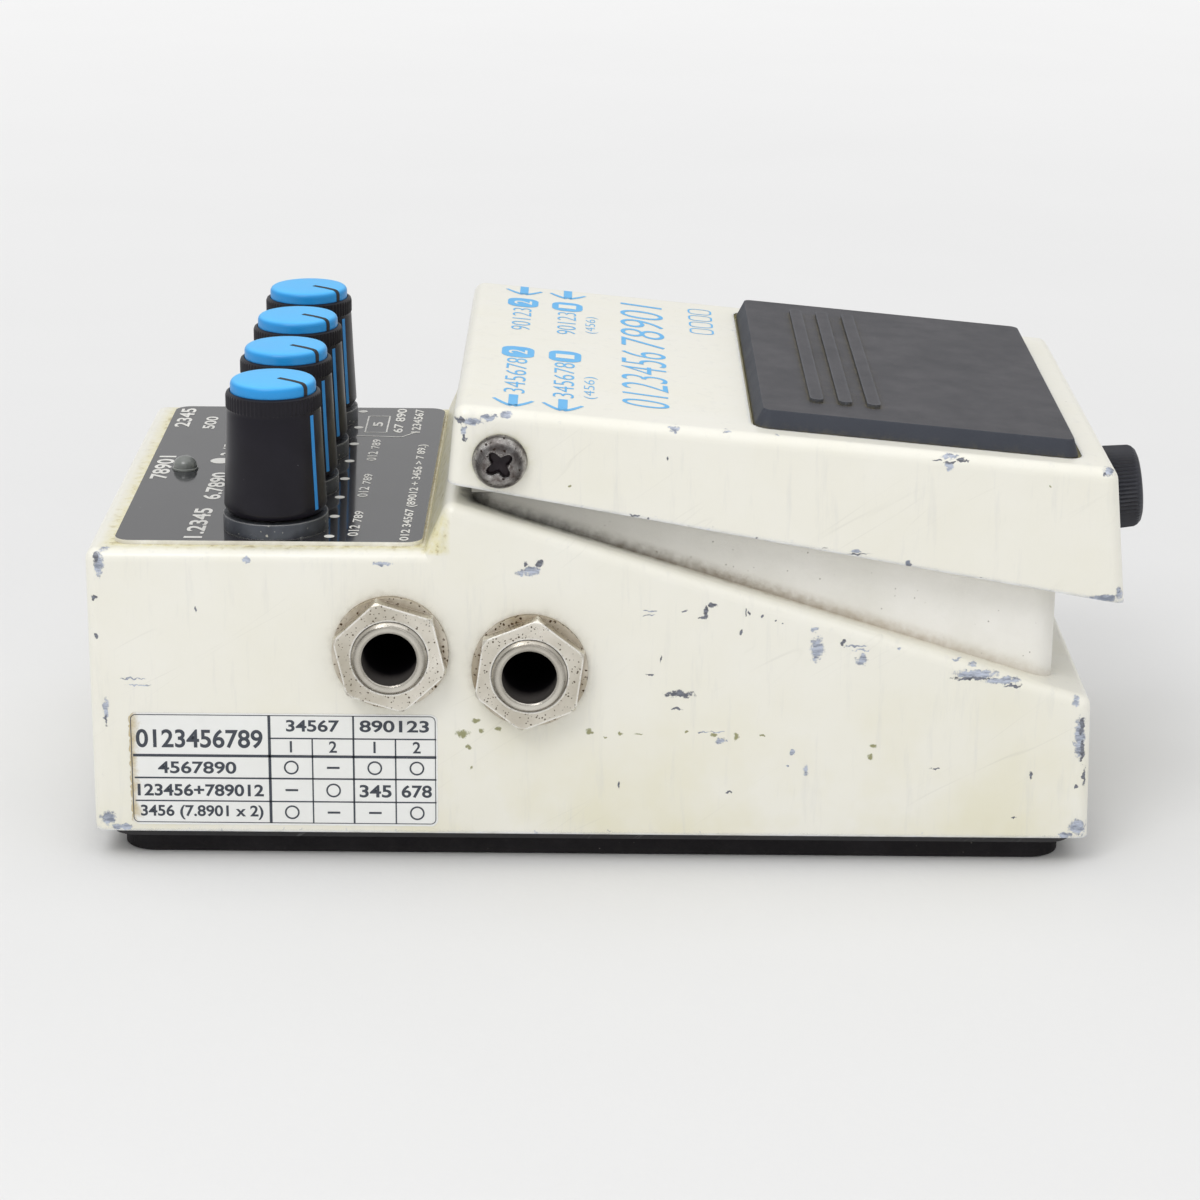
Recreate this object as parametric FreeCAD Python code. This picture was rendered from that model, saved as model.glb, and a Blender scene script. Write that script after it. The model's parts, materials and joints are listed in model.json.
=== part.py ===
import FreeCAD, Part
import math
import os

# Compact digital delay pedal, sizes in millimetres.
# X runs across the pedal with the inputs on +X, +Y runs to the knobs, +Z is up.
# The origin is on the floor, under the middle of the overall length and width.

vec = FreeCAD.Vector
x_axis = vec(1, 0, 0)
y_axis = vec(0, 1, 0)
z_axis = vec(0, 0, 1)
origin = vec(0, 0, 0)

# Fits and clearances
running_fit = 0.05
close_gap = 0.15
free_gap = 0.3

# Body casting, as wide and as long as the battery, spring, block, jacks and treadle need
toe_overhang = 2.76
body_wall = 2.3
deck_height = 35.0
deck_length = 39.5
step_run = 2.7
shoulder_height = 41.1
shoulder_angle = 17.3
front_draft = 0.5
body_round = 1.4
cut_past = 6.0

# Base
rubber_thickness = 2.4
rubber_inset = 2.8
rubber_corner = 4.0
cover_thickness = 1.2
cover_inset = 1.6
cover_corner = 3.0
base_screw_inset_side = 8.2
base_screw_inset_rear = 8.0
base_screw_inset_front = 8.6
base_screw_radius = 1.5
base_screw_length = 9.0
base_head_radius = 2.9
base_head_height = 1.7
base_head_taper = 0.6
base_boss_radius = 3.5
rubber_hole_radius = 3.9

# Raised block with the battery tub, under the treadle
block_side_gap = 1.2
block_wall = 2.5
block_front_gap = 4.6
block_corner = 3.0
tub_from_spring = 3.9
tub_from_jack = 1.23
tub_floor_height = 18.7
tub_floor_thickness = 2.2
rim_front_height = 40.4
rim_rear_height = 46.2
roof_below_hinge = 2.25

# Hinge
hinge_from_rear = 48.4
hinge_height = 46.15
ear_radius = 3.4
ear_thickness = 4.5
hinge_shoulder_radius = 2.0
hinge_thread_radius = 1.5
hinge_head_radius = 3.2
hinge_head_height = 1.9
hinge_head_edge = 0.7
hinge_cross_span = 3.7
cross_width = 0.9
cross_depth = 1.1
bush_radius = 2.8
bush_flange_radius = 3.6
bush_flange = 0.9

# Treadle, seen along its own top face
top_slope = 5.33
treadle_top = 6.0
treadle_wall = 2.3
treadle_rear_wall = 1.8
treadle_rear = 5.8
edge_drop = 3.8
edge_slope = 4.7
front_lean = 11.0
treadle_round = 1.5
press_angle = 2.2

# Pad on the treadle
pad_side_margin = 4.0
pad_length = 38.1
pad_front_margin = 4.0
pad_height = 2.0
pad_sunk = 0.7
pad_recess_margin = 0.4
pad_corner = 1.8
pad_draft = 0.8
pad_top_corner = 1.0
rib_count = 3
rib_length = 47.0
rib_width = 1.6
rib_pitch = 3.4
rib_height = 0.5
rib_from_edge = 6.5

# Thumbscrew
thumb_up_front = 4.4
thumb_radius = 5.3
thumb_end_radius = 5.0
thumb_length = 6.9
thumb_edge = 0.9
thumb_flutes = 32
thumb_flute_depth = 0.3
screw_radius = 1.95
neck_depth = 0.4
thread_pitch = 0.7
release_turns = 4
tip_engagement = 2.6
clip_radius = 3.3
clip_thickness = 0.6
clip_gap = 2.4
guide_side = 2.2
guide_flange = 0.7
guide_lip = 1.0

# Return spring, its seat and the footswitch
spring_from_battery = 4.4
spring_radius = 6.0
spring_wire = 0.6
spring_boss_height = 4.0
seat_flange_radius = 8.0
seat_flange = 1.6
seat_post_height = 3.0
seat_post_taper = 0.9
switch_offset = 17.0
switch_size = 12.0
switch_corner = 0.8
switch_body_height = 4.6
switch_pillar_height = 14.2
switch_pillar_bore = 3.0
plunger_radius = 3.2
plunger_height = 3.6
plunger_travel_room = 1.4
pusher_radius = 4.0
web_from_spring = 12.0
web_thickness = 2.3
web_depth = 1.2

# Battery
battery_length = 46.4
battery_width = 26.5
battery_thickness = 17.5
battery_round = 2.2
battery_cushion = 2.2
battery_end_gap = 1.7
cushion_margin = 3.0
terminal_height = 2.6
terminal_pitch = 12.7
stud_radius = 2.8
socket_radius = 3.8

# Control panel, knobs and what is under them
panel_side_margin = 2.5
panel_rear_margin = 3.1
panel_front_margin = 0.3
panel_thickness = 0.5
panel_corner = 2.0
knob_from_rear = 21.6
knob_from_panel_side = 6.25
knob_bottom_radius = 6.4
knob_top_radius = 6.05
knob_height = 13.7
knob_band_height = 3.3
knob_flutes = 24
knob_flute_depth = 0.22
pointer_angle = 36.0
pointer_width = 0.6
pointer_start = 1.0
cap_radius = 5.15
cap_height = 1.6
cap_sunk = 1.0
cap_edge = 0.5
bushing_radius = 3.7
nut_radius = 6.2
nut_height = 1.9
shaft_radius = 3.0
shaft_flat = 1.6
shaft_in_knob = 9.0
shaft_round_part = 1.0
pot_size = 11.0
pot_height = 6.8
pot_corner = 0.8
pot_foot = 1.2
selector_radius = 5.4
selector_foot = 2.7
panel_board_gap = 1.7
panel_board_tongue = 24.0
board_thickness = 1.6
led_from_rear = 7.85
led_radius = 1.5
led_height = 5.3
led_stands_out = 0.9
led_flange = 0.35
led_flange_height = 1.0
led_board_margin = 2.0
holder_wall = 1.3

# Jacks
jack_from_rear = 35.55
jack_height = 22.85
jack_pitch = 16.5
jack_tilt = 7.2
jack_bore_radius = 3.25
jack_bore_length = 20.0
jack_barrel_radius = 4.45
jack_stands_out = 3.0
jack_body_length = 22.0
jack_body_width = 14.0
jack_body_height = 12.6
jack_body_corner = 1.0
jack_mouth_edge = 0.4
jack_washer_radius = 6.85
jack_washer_thickness = 0.7
jack_nut_flats = 12.0
jack_nut_thickness = 1.8
jack_nut_bevel = 0.35
jack_board_thickness = 1.2
jack_pin_from_wall = 5.0
jack_pin_pitch = 7.0
jack_pin_count = 3
jack_pin_aside = 3.35
jack_pin_width = 1.0
jack_pin_thickness = 0.3
jack_pin_past_board = 1.2
output_nut_turns = [13.0, -8.0]
input_nut_turns = [5.0, 22.0]

# Power socket on the rear face
socket_offset = -12.0
socket_width = 9.0
socket_height = 11.0
socket_depth = 13.6
socket_axis_height = 6.5
socket_bore = 3.1
socket_bore_depth = 9.5
socket_nose = 4.3
socket_pin = 1.05
socket_pin_root = 3.0
socket_pin_setback = 1.2

# Main board
main_board_height = 4.0
main_board_edge = 1.0
sheet_thickness = 0.4
board_post_radius = 2.6
board_post_inset = 5.3
board_post_span = 35.6
board_post_from_front = 15.0
board_screw_radius = 1.3
board_screw_flats = 4.4
board_screw_head_height = 1.4
board_screw_length = 6.0
link_from_can = 0.55
link_thickness = 2.5
link_length = 10.0
processor_side = 14.0
processor_height = 1.6
processor_behind_middle = 18.0
memory_length = 18.0
memory_width = 8.0
memory_height = 2.2
memory_before_middle = 4.0
amplifier_length = 8.0
amplifier_width = 5.0
amplifier_height = 1.5
amplifier_before_middle = 22.0
amplifier_pitch = 14.0
chip_bevel = 0.25
can_radius = 3.2
can_height = 5.8
can_from_board_side = 6.2
can_from_rear = 20.0

# Worked out from the sizes above: the body
tub_half = battery_length / 2 + terminal_height + battery_end_gap
block_half = tub_half + block_wall
half_body = block_half + block_side_gap + treadle_wall
base_z = rubber_thickness + cover_thickness
deck_z = base_z + deck_height
shoulder_z = base_z + shoulder_height
inner_half = half_body - body_wall
thumb_tilt = front_lean - top_slope
slope_cos = math.cos(math.radians(top_slope))
slope_sin = math.sin(math.radians(top_slope))
lean_cos = math.cos(math.radians(front_lean))
lean_sin = math.sin(math.radians(front_lean))
tilt_cos = math.cos(math.radians(thumb_tilt))
tilt_sin = math.sin(math.radians(thumb_tilt))
spring_outside = spring_radius + spring_wire
tub_length = (2 * block_wall + guide_flange + free_gap + battery_width + spring_from_battery
              + 2 * spring_outside + tub_from_spring)
jack_row = (jack_pitch + jack_body_width / 2) * math.cos(math.radians(jack_tilt))
toe_reach = (jack_from_rear - hinge_from_rear + jack_row + tub_from_jack + tub_length
             + block_front_gap + toe_overhang)
edge_rise = math.tan(math.radians(edge_slope))
treadle_reach = (toe_reach + edge_drop * slope_sin) / (slope_cos - edge_rise * slope_sin)


# Height of the treadle's lower edge at a distance y from the hinge, along the treadle
def edge_at(y):
    return -edge_drop + y * edge_rise


# How far the thumbscrew's end lies in front of the hinge
def reach_to_tip():
    y = -treadle_reach + thumb_up_front * lean_sin
    z = edge_at(-treadle_reach) + thumb_up_front * lean_cos
    wall_y = y * slope_cos - z * slope_sin
    return -wall_y + (free_gap + thumb_length) * tilt_cos + (thumb_end_radius - thumb_edge) * tilt_sin


overall_length = hinge_from_rear + reach_to_tip()
rear_y = overall_length / 2
deck_end_y = rear_y - deck_length
shoulder_y = deck_end_y - step_run
shoulder_fall = math.tan(math.radians(shoulder_angle))
hinge_y = rear_y - hinge_from_rear
hinge_z = base_z + hinge_height
front_y = hinge_y - toe_reach + toe_overhang
block_front_y = front_y + block_front_gap
block_rear_y = hinge_y + ear_radius
roof_z = hinge_z - roof_below_hinge
tub_front_y = block_front_y + block_wall
tub_rear_y = block_front_y + tub_length - block_wall
tub_floor_z = base_z + tub_floor_height
tub_under_z = tub_floor_z - tub_floor_thickness
press_fall = math.tan(math.radians(press_angle))
battery_y = tub_front_y + guide_flange + free_gap + battery_width / 2
spring_y = battery_y + battery_width / 2 + spring_from_battery + spring_outside
spring_from_hinge = hinge_y - spring_y
web_from_hinge = spring_from_hinge + web_from_spring


# Point on the treadle, given along and above its hinge in the treadle's own directions
def treadle_point(y, z):
    return vec(0, hinge_y + y * slope_cos - z * slope_sin, hinge_z + y * slope_sin + z * slope_cos)


thumb_seat = treadle_point(-treadle_reach + thumb_up_front * lean_sin,
                           edge_at(-treadle_reach) + thumb_up_front * lean_cos)
treadle_under = treadle_top - treadle_wall
pad_half = half_body - pad_side_margin
switch_top_z = tub_floor_z + switch_pillar_height + switch_body_height
plunger_top_z = switch_top_z + plunger_height - free_gap
panel_top_z = deck_z + panel_thickness
panel_half = half_body - panel_side_margin
knob_y = rear_y - knob_from_rear
knob_pitch = 2 * (panel_half - knob_from_panel_side) / 3
knob_xs = [knob_pitch * (i - 1.5) for i in range(4)]
knob_z = panel_top_z + nut_height + free_gap
pot_top_z = deck_z - body_wall
pot_low_z = pot_top_z - pot_height
shaft_foot_z = pot_top_z - pot_height / 2
panel_board_z = pot_low_z - board_thickness
led_y = rear_y - led_from_rear
jack_y = rear_y - jack_from_rear
jack_z = base_z + jack_height
board_z = base_z + main_board_height
board_top_z = board_z + board_thickness
board_half = inner_half - main_board_edge
board_ys = (front_y + body_wall + main_board_edge, rear_y - body_wall - main_board_edge)
can_x = board_half - can_from_board_side
socket_z = board_top_z + socket_axis_height
base_screw_x = half_body - base_screw_inset_side
base_screw_ys = [rear_y - base_screw_inset_rear, front_y + base_screw_inset_front]
board_post_x = base_screw_x - board_post_inset
board_post_ys = [front_y + board_post_from_front, front_y + board_post_from_front + board_post_span]
jack_inner_x = half_body - body_wall
jack_pin_xs = [jack_inner_x - jack_pin_from_wall - jack_pin_pitch * i for i in range(jack_pin_count)]
middle_y = (front_y + rear_y) / 2


# Small makers of plain shapes
def box(x_range, y_range, z_range):
    sizes = [ends[1] - ends[0] for ends in (x_range, y_range, z_range)]
    return Part.makeBox(sizes[0], sizes[1], sizes[2], vec(x_range[0], y_range[0], z_range[0]))


def rod(radius, length, start, direction=z_axis):
    return Part.makeCylinder(radius, length, start, direction)


def ring(outer, inner, length, start, direction=z_axis):
    return rod(outer, length, start, direction).cut(rod(inner, length, start, direction))


def join(shapes):
    whole = shapes[0]
    for shape in shapes[1:]:
        whole = whole.fuse(shape)
    return whole.removeSplitter()


def upright_edges(shape):
    return [e for e in shape.Edges if len(e.Vertexes) == 2
            and abs(e.Vertexes[0].X - e.Vertexes[1].X) < 0.001
            and abs(e.Vertexes[0].Y - e.Vertexes[1].Y) < 0.001]


def plate(x_range, y_range, z_range, corner):
    flat = box(x_range, y_range, z_range)
    return flat.makeFillet(corner, upright_edges(flat))


# The lowest outline of a flat rounded plate, as a loop for a loft
def rounded_loop(half_width, y_range, z, corner):
    flat = plate((-half_width, half_width), y_range, (z, z + 1), corner)
    low = [f for f in flat.Faces if f.BoundBox.ZMax < z + 0.5]
    return low[0].OuterWire


def side_prism(points, half_width):
    corners = [vec(-half_width, y, z) for y, z in points]
    face = Part.Face(Part.makePolygon(corners + corners[:1]))
    return face.extrude(vec(2 * half_width, 0, 0))


def turned(points):
    corners = [vec(r, 0, z) for r, z in points]
    face = Part.Face(Part.makePolygon(corners + corners[:1]))
    return face.revolve(origin, z_axis, 360)


# Fluted body about Z through the sizes (radius, height), with V grooves all round it
def fluted(sizes, depth, count):
    loops = []
    for outer, height in sizes:
        corners = []
        for i in range(2 * count):
            angle = math.pi * i / count
            radius = outer - depth * (i % 2)
            corners.append(vec(radius * math.cos(angle), radius * math.sin(angle), height))
        loops.append(Part.makePolygon(corners + corners[:1]))
    return Part.makeLoft(loops, True, True)


def mirrored(shape):
    return shape.mirror(origin, x_axis)


def both_sides(shape):
    return [shape, mirrored(shape)]


def on_treadle(shape):
    placed = shape.copy()
    placed.rotate(origin, x_axis, top_slope)
    placed.translate(vec(0, hinge_y, hinge_z))
    return placed


def on_thumb_axis(shape):
    placed = shape.copy()
    placed.rotate(origin, x_axis, 90 - thumb_tilt)
    placed.translate(thumb_seat)
    return placed


# Shapes made about a jack's axis, set at the rear or the front jack of one side
def on_jack(shape, place, side):
    placed = shape.copy()
    placed.translate(vec(0, -jack_pitch * place, 0))
    placed.rotate(origin, x_axis, jack_tilt)
    placed.translate(vec(0, jack_y, jack_z))
    return placed if side > 0 else mirrored(placed)


# Six-sided bar about Z, with its flats this far apart
def hex_bar(flats, height):
    sixth = math.pi / 3
    across = flats / math.cos(sixth / 2) / 2
    corners = [vec(across * math.cos(sixth * i), across * math.sin(sixth * i), 0) for i in range(7)]
    return Part.Face(Part.makePolygon(corners)).extrude(vec(0, 0, height))


def cross_recess(span, width, depth, top):
    arms = []
    for size in ((span, width), (width, span)):
        arms.append(box((-size[0] / 2, size[0] / 2), (-size[1] / 2, size[1] / 2), (top - depth, top + depth)))
    return arms[0].fuse(arms[1])


# Body casting: side outline, shelled from below, with the raised block on it
def body_outline(base):
    front_z = shoulder_z - shoulder_fall * (shoulder_y - front_y - front_draft)
    return [(rear_y, base), (rear_y, deck_z), (deck_end_y, deck_z), (shoulder_y, shoulder_z),
            (front_y + front_draft, front_z), (front_y, base)]


def body_skin():
    solid = side_prism(body_outline(base_z), half_body)
    deck_corner = vec(0, deck_end_y, deck_z)
    rounded = [e for e in solid.Edges if e.BoundBox.ZMax > base_z + 0.01
               and e.CenterOfMass.distanceToPoint(deck_corner) > 0.01]
    return solid.makeFillet(body_round, rounded)


def body_hollow():
    corners = [vec(0, y, z) for y, z in body_outline(base_z - 2 * cut_past)]
    inner = Part.makePolygon(corners + corners[:1]).makeOffset2D(-body_wall, 2)
    hollow = Part.Face(inner).extrude(vec(2 * inner_half, 0, 0))
    hollow.translate(vec(-inner_half, 0, 0))
    return hollow


def block_solid():
    high = hinge_z + ear_radius
    footprint = plate((-block_half, block_half), (block_front_y, block_rear_y), (tub_under_z, high),
                      block_corner)
    outline = side_prism([(block_front_y, tub_under_z), (block_front_y, base_z + rim_front_height),
                          (tub_rear_y + block_wall, base_z + rim_rear_height),
                          (tub_rear_y + block_wall, roof_z),
                          (block_rear_y, roof_z), (block_rear_y, tub_under_z)], block_half)
    return footprint.common(outline)


def hinge_ear():
    start = vec(block_half - ear_thickness, hinge_y, hinge_z)
    round_top = rod(ear_radius, ear_thickness, start, x_axis)
    foot = box((block_half - ear_thickness, block_half), (hinge_y - ear_radius, hinge_y + ear_radius),
               (roof_z - block_wall, hinge_z))
    hole = rod(hinge_thread_radius + running_fit, ear_thickness, start, x_axis)
    return round_top.fuse(foot).cut(hole)


def room_under_roof():
    return box((-tub_half, tub_half), (tub_rear_y + block_wall, block_rear_y - block_wall),
               (base_z, roof_z - block_wall))


def tub_room():
    high = base_z + rim_rear_height
    return plate((-tub_half, tub_half), (tub_front_y, tub_rear_y), (tub_floor_z, high), block_corner - 1)


def body_bosses():
    posts = []
    for x in (-base_screw_x, base_screw_x):
        for y, top in zip(base_screw_ys, (deck_z - body_wall, tub_under_z)):
            posts.append(rod(base_boss_radius, top - base_z + 0.5, vec(x, y, base_z)))
    for x in (-board_post_x, board_post_x):
        for y in board_post_ys:
            posts.append(rod(board_post_radius, tub_under_z - board_top_z + 0.5, vec(x, y, board_top_z)))
    return posts


def body_screw_holes():
    holes = []
    for x in (-base_screw_x, base_screw_x):
        for y in base_screw_ys:
            holes.append(rod(base_screw_radius + running_fit, base_screw_length, vec(x, y, base_z)))
    for x in (-board_post_x, board_post_x):
        for y in board_post_ys:
            holes.append(rod(board_screw_radius + running_fit, board_screw_length, vec(x, y, board_top_z)))
    return holes


# Where the thumbscrew's axis crosses the block's front wall, at its middle
def guide_centre():
    y = block_front_y + block_wall / 2
    return vec(0, y, thumb_seat.z - (y - thumb_seat.y) * tilt_sin / tilt_cos)


# Upright slot about the thumbscrew's axis, long enough for the treadle's travel
def guide_slot(grow, y_range):
    centre = guide_centre()
    drop = (hinge_y - centre.y) * press_fall
    half = screw_radius + close_gap + grow
    length = y_range[1] - y_range[0]
    top = rod(half, length, vec(0, y_range[0], centre.z), y_axis)
    bottom = rod(half, length, vec(0, y_range[0], centre.z - drop), y_axis)
    middle = box((-half, half), y_range, (centre.z - drop, centre.z))
    return join([top, bottom, middle])


def switch_pillar():
    return ring(switch_size / 2, switch_pillar_bore, switch_pillar_height,
                vec(switch_offset, spring_y, tub_floor_z))


def housing():
    tub_outside = box((-block_half, block_half), (block_front_y, tub_rear_y + block_wall),
                      (tub_under_z, shoulder_z + cut_past))
    hollow = body_hollow().cut(tub_outside)
    shape = join([body_skin(), block_solid()]).cut(hollow).cut(room_under_roof()).cut(tub_room())
    spring_boss = rod(spring_radius - spring_wire - free_gap, spring_boss_height,
                      vec(0, spring_y, tub_floor_z))
    shape = join([shape, spring_boss, switch_pillar()] + both_sides(hinge_ear()) + body_bosses())
    for x in knob_xs:
        shape = shape.cut(rod(bushing_radius + close_gap, 2 * cut_past, vec(x, knob_y, deck_z - cut_past)))
    shape = shape.cut(rod(led_radius + close_gap, 2 * cut_past, vec(0, led_y, deck_z - cut_past)))
    for side in (-1, 1):
        for place in (0, 1):
            hole = rod(jack_barrel_radius + close_gap, 2 * cut_past, vec(half_body - cut_past, 0, 0), x_axis)
            shape = shape.cut(on_jack(hole, place, side))
    shape = shape.cut(rod(socket_nose + close_gap, 2 * cut_past,
                          vec(socket_offset, rear_y - cut_past, socket_z), y_axis))
    shape = shape.cut(guide_slot(guide_side, (block_front_y - 1, tub_front_y + 1)))
    for hole in body_screw_holes():
        shape = shape.cut(hole)
    return shape


# Base: cover plate, rubber and their screws
def base_sheet(inset, corner, z_range, hole_radius):
    sheet = plate((inset - half_body, half_body - inset), (front_y + inset, rear_y - inset), z_range, corner)
    for x in (-base_screw_x, base_screw_x):
        for y in base_screw_ys:
            sheet = sheet.cut(rod(hole_radius, z_range[1] - z_range[0], vec(x, y, z_range[0])))
    return sheet


def bottom_cover():
    return base_sheet(cover_inset, cover_corner, (rubber_thickness, base_z), base_screw_radius + close_gap)


def base_rubber():
    return base_sheet(rubber_inset, rubber_corner, (0, rubber_thickness), rubber_hole_radius)


def base_screws():
    head = Part.makeCone(base_head_radius - base_head_taper, base_head_radius, base_head_height,
                         vec(0, 0, -base_head_height))
    screw = join([head, rod(base_screw_radius, cover_thickness + base_screw_length - 1, origin)])
    screws = []
    for x in (-base_screw_x, base_screw_x):
        for y in base_screw_ys:
            placed = screw.copy()
            placed.translate(vec(x, y, rubber_thickness))
            screws.append(placed)
    return screws


# Flat sheet that fills the inside of the casting, with its corners notched for the four base bosses
def notched_sheet(z_range):
    reach = base_boss_radius + free_gap
    x_range = (base_screw_x - reach, half_body)
    rear = box(x_range, (base_screw_ys[0] - reach, rear_y), z_range)
    front = box(x_range, (front_y, base_screw_ys[1] + reach), z_range)
    sheet = box((-board_half, board_half), board_ys, z_range)
    for notch in both_sides(rear) + both_sides(front):
        sheet = sheet.cut(notch)
    return sheet


def insulating_sheet():
    return notched_sheet((base_z, base_z + sheet_thickness))


# Boards and what stands on them
def main_board():
    board = notched_sheet((board_z, board_top_z))
    for x in (-board_post_x, board_post_x):
        for y in board_post_ys:
            board = board.cut(rod(board_screw_radius + close_gap, board_thickness, vec(x, y, board_z)))
    return board


def chip(x, y, size_x, size_y, height):
    package = box((x - size_x / 2, x + size_x / 2), (y - size_y / 2, y + size_y / 2),
                  (board_top_z, board_top_z + height))
    return package.makeChamfer(chip_bevel, [e for e in package.Edges if e.BoundBox.ZMin > board_top_z + 0.1])


def main_board_chips():
    chips = [chip(0, middle_y + processor_behind_middle, processor_side, processor_side, processor_height),
             chip(0, middle_y - memory_before_middle, memory_length, memory_width, memory_height)]
    for x in (-amplifier_pitch, 0, amplifier_pitch):
        chips.append(chip(x, middle_y - amplifier_before_middle,
                          amplifier_width, amplifier_length, amplifier_height))
    return chips


def main_board_capacitors():
    foot = vec(can_x, rear_y - can_from_rear, board_top_z)
    return both_sides(rod(can_radius, can_height, foot))


def main_board_screws():
    head = hex_bar(board_screw_flats, board_screw_head_height)
    screw = join([head, rod(board_screw_radius, board_screw_length, vec(0, 0, board_screw_head_height))])
    screws = []
    for x in (-board_post_x, board_post_x):
        for y in board_post_ys:
            placed = screw.copy()
            placed.translate(vec(x, y, board_z - board_screw_head_height))
            screws.append(placed)
    return screws


def board_link():
    outer = can_x - can_radius - link_from_can
    return box((outer - link_thickness, outer), (knob_y, knob_y + link_length), (board_top_z, panel_board_z))


def panel_board():
    front = knob_y - pot_size / 2
    rear = base_screw_ys[0] - base_boss_radius - free_gap
    thickness = (panel_board_z, panel_board_z + board_thickness)
    half = inner_half - panel_board_gap
    main = box((-half, half), (front, rear), thickness)
    tongue = box((-panel_board_tongue / 2, panel_board_tongue / 2),
                 (front, led_y + led_radius + led_board_margin), thickness)
    return join([main, tongue])


# Control panel, lamp, pots and knobs
def control_panel():
    panel = plate((-panel_half, panel_half), (deck_end_y + panel_front_margin, rear_y - panel_rear_margin),
                  (deck_z, panel_top_z), panel_corner)
    for x in knob_xs:
        panel = panel.cut(rod(bushing_radius + close_gap, panel_thickness, vec(x, knob_y, deck_z)))
    return panel.cut(rod(led_radius + close_gap, panel_thickness, vec(0, led_y, deck_z)))


def check_led():
    top = panel_top_z + led_stands_out
    base = top - led_height
    body = rod(led_radius, led_height - led_radius, vec(0, led_y, base))
    dome = Part.makeSphere(led_radius, vec(0, led_y, top - led_radius))
    flange = rod(led_radius + led_flange, led_flange_height, vec(0, led_y, base))
    return join([body, dome, flange])


def led_holder():
    base = panel_board_z + board_thickness
    top = panel_top_z + led_stands_out - led_height
    outer = led_radius + led_flange + free_gap
    return ring(outer, outer - holder_wall, top - base, vec(0, led_y, base))


def bushing(x):
    length = body_wall + panel_thickness + nut_height
    return rod(bushing_radius, length, vec(x, knob_y, pot_top_z))


def shaft_room(x):
    low = shaft_foot_z - close_gap
    return rod(shaft_radius + running_fit, knob_z - low, vec(x, knob_y, low))


def pot_base(x, height):
    return box((x - pot_size / 2, x + pot_size / 2), (knob_y - pot_size / 2, knob_y + pot_size / 2),
               (pot_low_z, pot_low_z + height))


def pot(x):
    case = pot_base(x, pot_height)
    case = case.makeChamfer(pot_corner, upright_edges(case))
    return join([case, pot_base(x, pot_foot), bushing(x)]).cut(shaft_room(x))


def mode_switch():
    x = knob_xs[-1]
    case = rod(selector_radius, pot_height, vec(x, knob_y, pot_low_z))
    return join([case, pot_base(x, selector_foot), bushing(x)]).cut(shaft_room(x))


def pot_nuts():
    return [ring(nut_radius, bushing_radius, nut_height, vec(x, knob_y, panel_top_z)) for x in knob_xs]


def shaft(x):
    top = knob_z + shaft_in_knob
    whole = rod(shaft_radius, top - shaft_foot_z, vec(x, knob_y, shaft_foot_z))
    flat = box((x - shaft_radius, x + shaft_radius), (knob_y + shaft_flat, knob_y + cut_past),
               (knob_z + shaft_round_part, top + cut_past))
    return whole.cut(flat)


# Knob made about Z at the origin with its pointer along -Y, then turned to its lowest mark
def place_knob(shape, x):
    placed = shape.copy()
    placed.rotate(origin, z_axis, -pointer_angle)
    placed.translate(vec(x, knob_y, knob_z))
    return placed


def cap_solid(radius):
    low = knob_height - cap_sunk
    top = knob_height + cap_height
    return turned([(0, low), (radius, low), (radius, top - cap_edge), (radius - cap_edge, top), (0, top)])


def pointer_fin(width):
    return box((-width / 2, width / 2), (-2 * cap_radius, -pointer_start),
               (knob_height - cap_sunk, 2 * knob_height))


def knob(x):
    band = knob_height - knob_band_height
    barrel = Part.makeCone(knob_bottom_radius, knob_top_radius, band)
    flutes = fluted([(knob_top_radius, band), (knob_top_radius, knob_height)], knob_flute_depth, knob_flutes)
    body = join([barrel, flutes])
    body = body.cut(rod(cap_radius + running_fit, cut_past, vec(0, 0, knob_height - cap_sunk)))
    body = join([body, pointer_fin(pointer_width).common(cap_solid(cap_radius + running_fit))])
    bore = rod(shaft_radius + running_fit, shaft_in_knob + close_gap, origin)
    key = box((-shaft_radius, shaft_radius), (shaft_flat + running_fit, cut_past),
              (shaft_round_part + close_gap, shaft_in_knob + cut_past))
    key.rotate(origin, z_axis, pointer_angle)
    return place_knob(body.cut(bore.cut(key)), x)


def knob_cap(x):
    return place_knob(cap_solid(cap_radius).cut(pointer_fin(pointer_width + 2 * running_fit)), x)


# Jacks: made about the X axis, with the wall's outer face at half_body
def jack():
    mouth_x = half_body + jack_stands_out
    case = box((jack_inner_x - jack_body_length, jack_inner_x), (-jack_body_width / 2, jack_body_width / 2),
               (-jack_body_height / 2, jack_body_height / 2))
    lengthwise = [e for e in case.Edges if abs(e.Vertexes[0].X - e.Vertexes[1].X) > 1]
    case = case.makeChamfer(jack_body_corner, lengthwise)
    collar = rod(jack_barrel_radius, mouth_x - jack_inner_x, vec(jack_inner_x, 0, 0), x_axis)
    mouth_edges = [e for e in collar.Edges if e.BoundBox.XMin > mouth_x - 0.01]
    collar = collar.makeChamfer(jack_mouth_edge, mouth_edges)
    bore = rod(jack_bore_radius, jack_bore_length, vec(mouth_x - jack_bore_length, 0, 0), x_axis)
    return join([case, collar]).cut(bore)


def jack_nut(turn):
    outer = jack_nut_flats / math.sqrt(3) - jack_nut_bevel
    cone = Part.makeCone(outer + jack_nut_thickness, outer, jack_nut_thickness)
    nut = hex_bar(jack_nut_flats, jack_nut_thickness).common(cone)
    nut = nut.cut(rod(jack_barrel_radius + running_fit, jack_nut_thickness, origin))
    nut.rotate(origin, y_axis, 90)
    nut.rotate(origin, x_axis, -turn - jack_tilt)
    nut.translate(vec(half_body + jack_washer_thickness, 0, 0))
    return nut


def all_jacks(shape_of):
    shapes = []
    for side in (-1, 1):
        for place in (0, 1):
            shapes.append(on_jack(shape_of(side, place), place, side))
    return shapes


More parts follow.
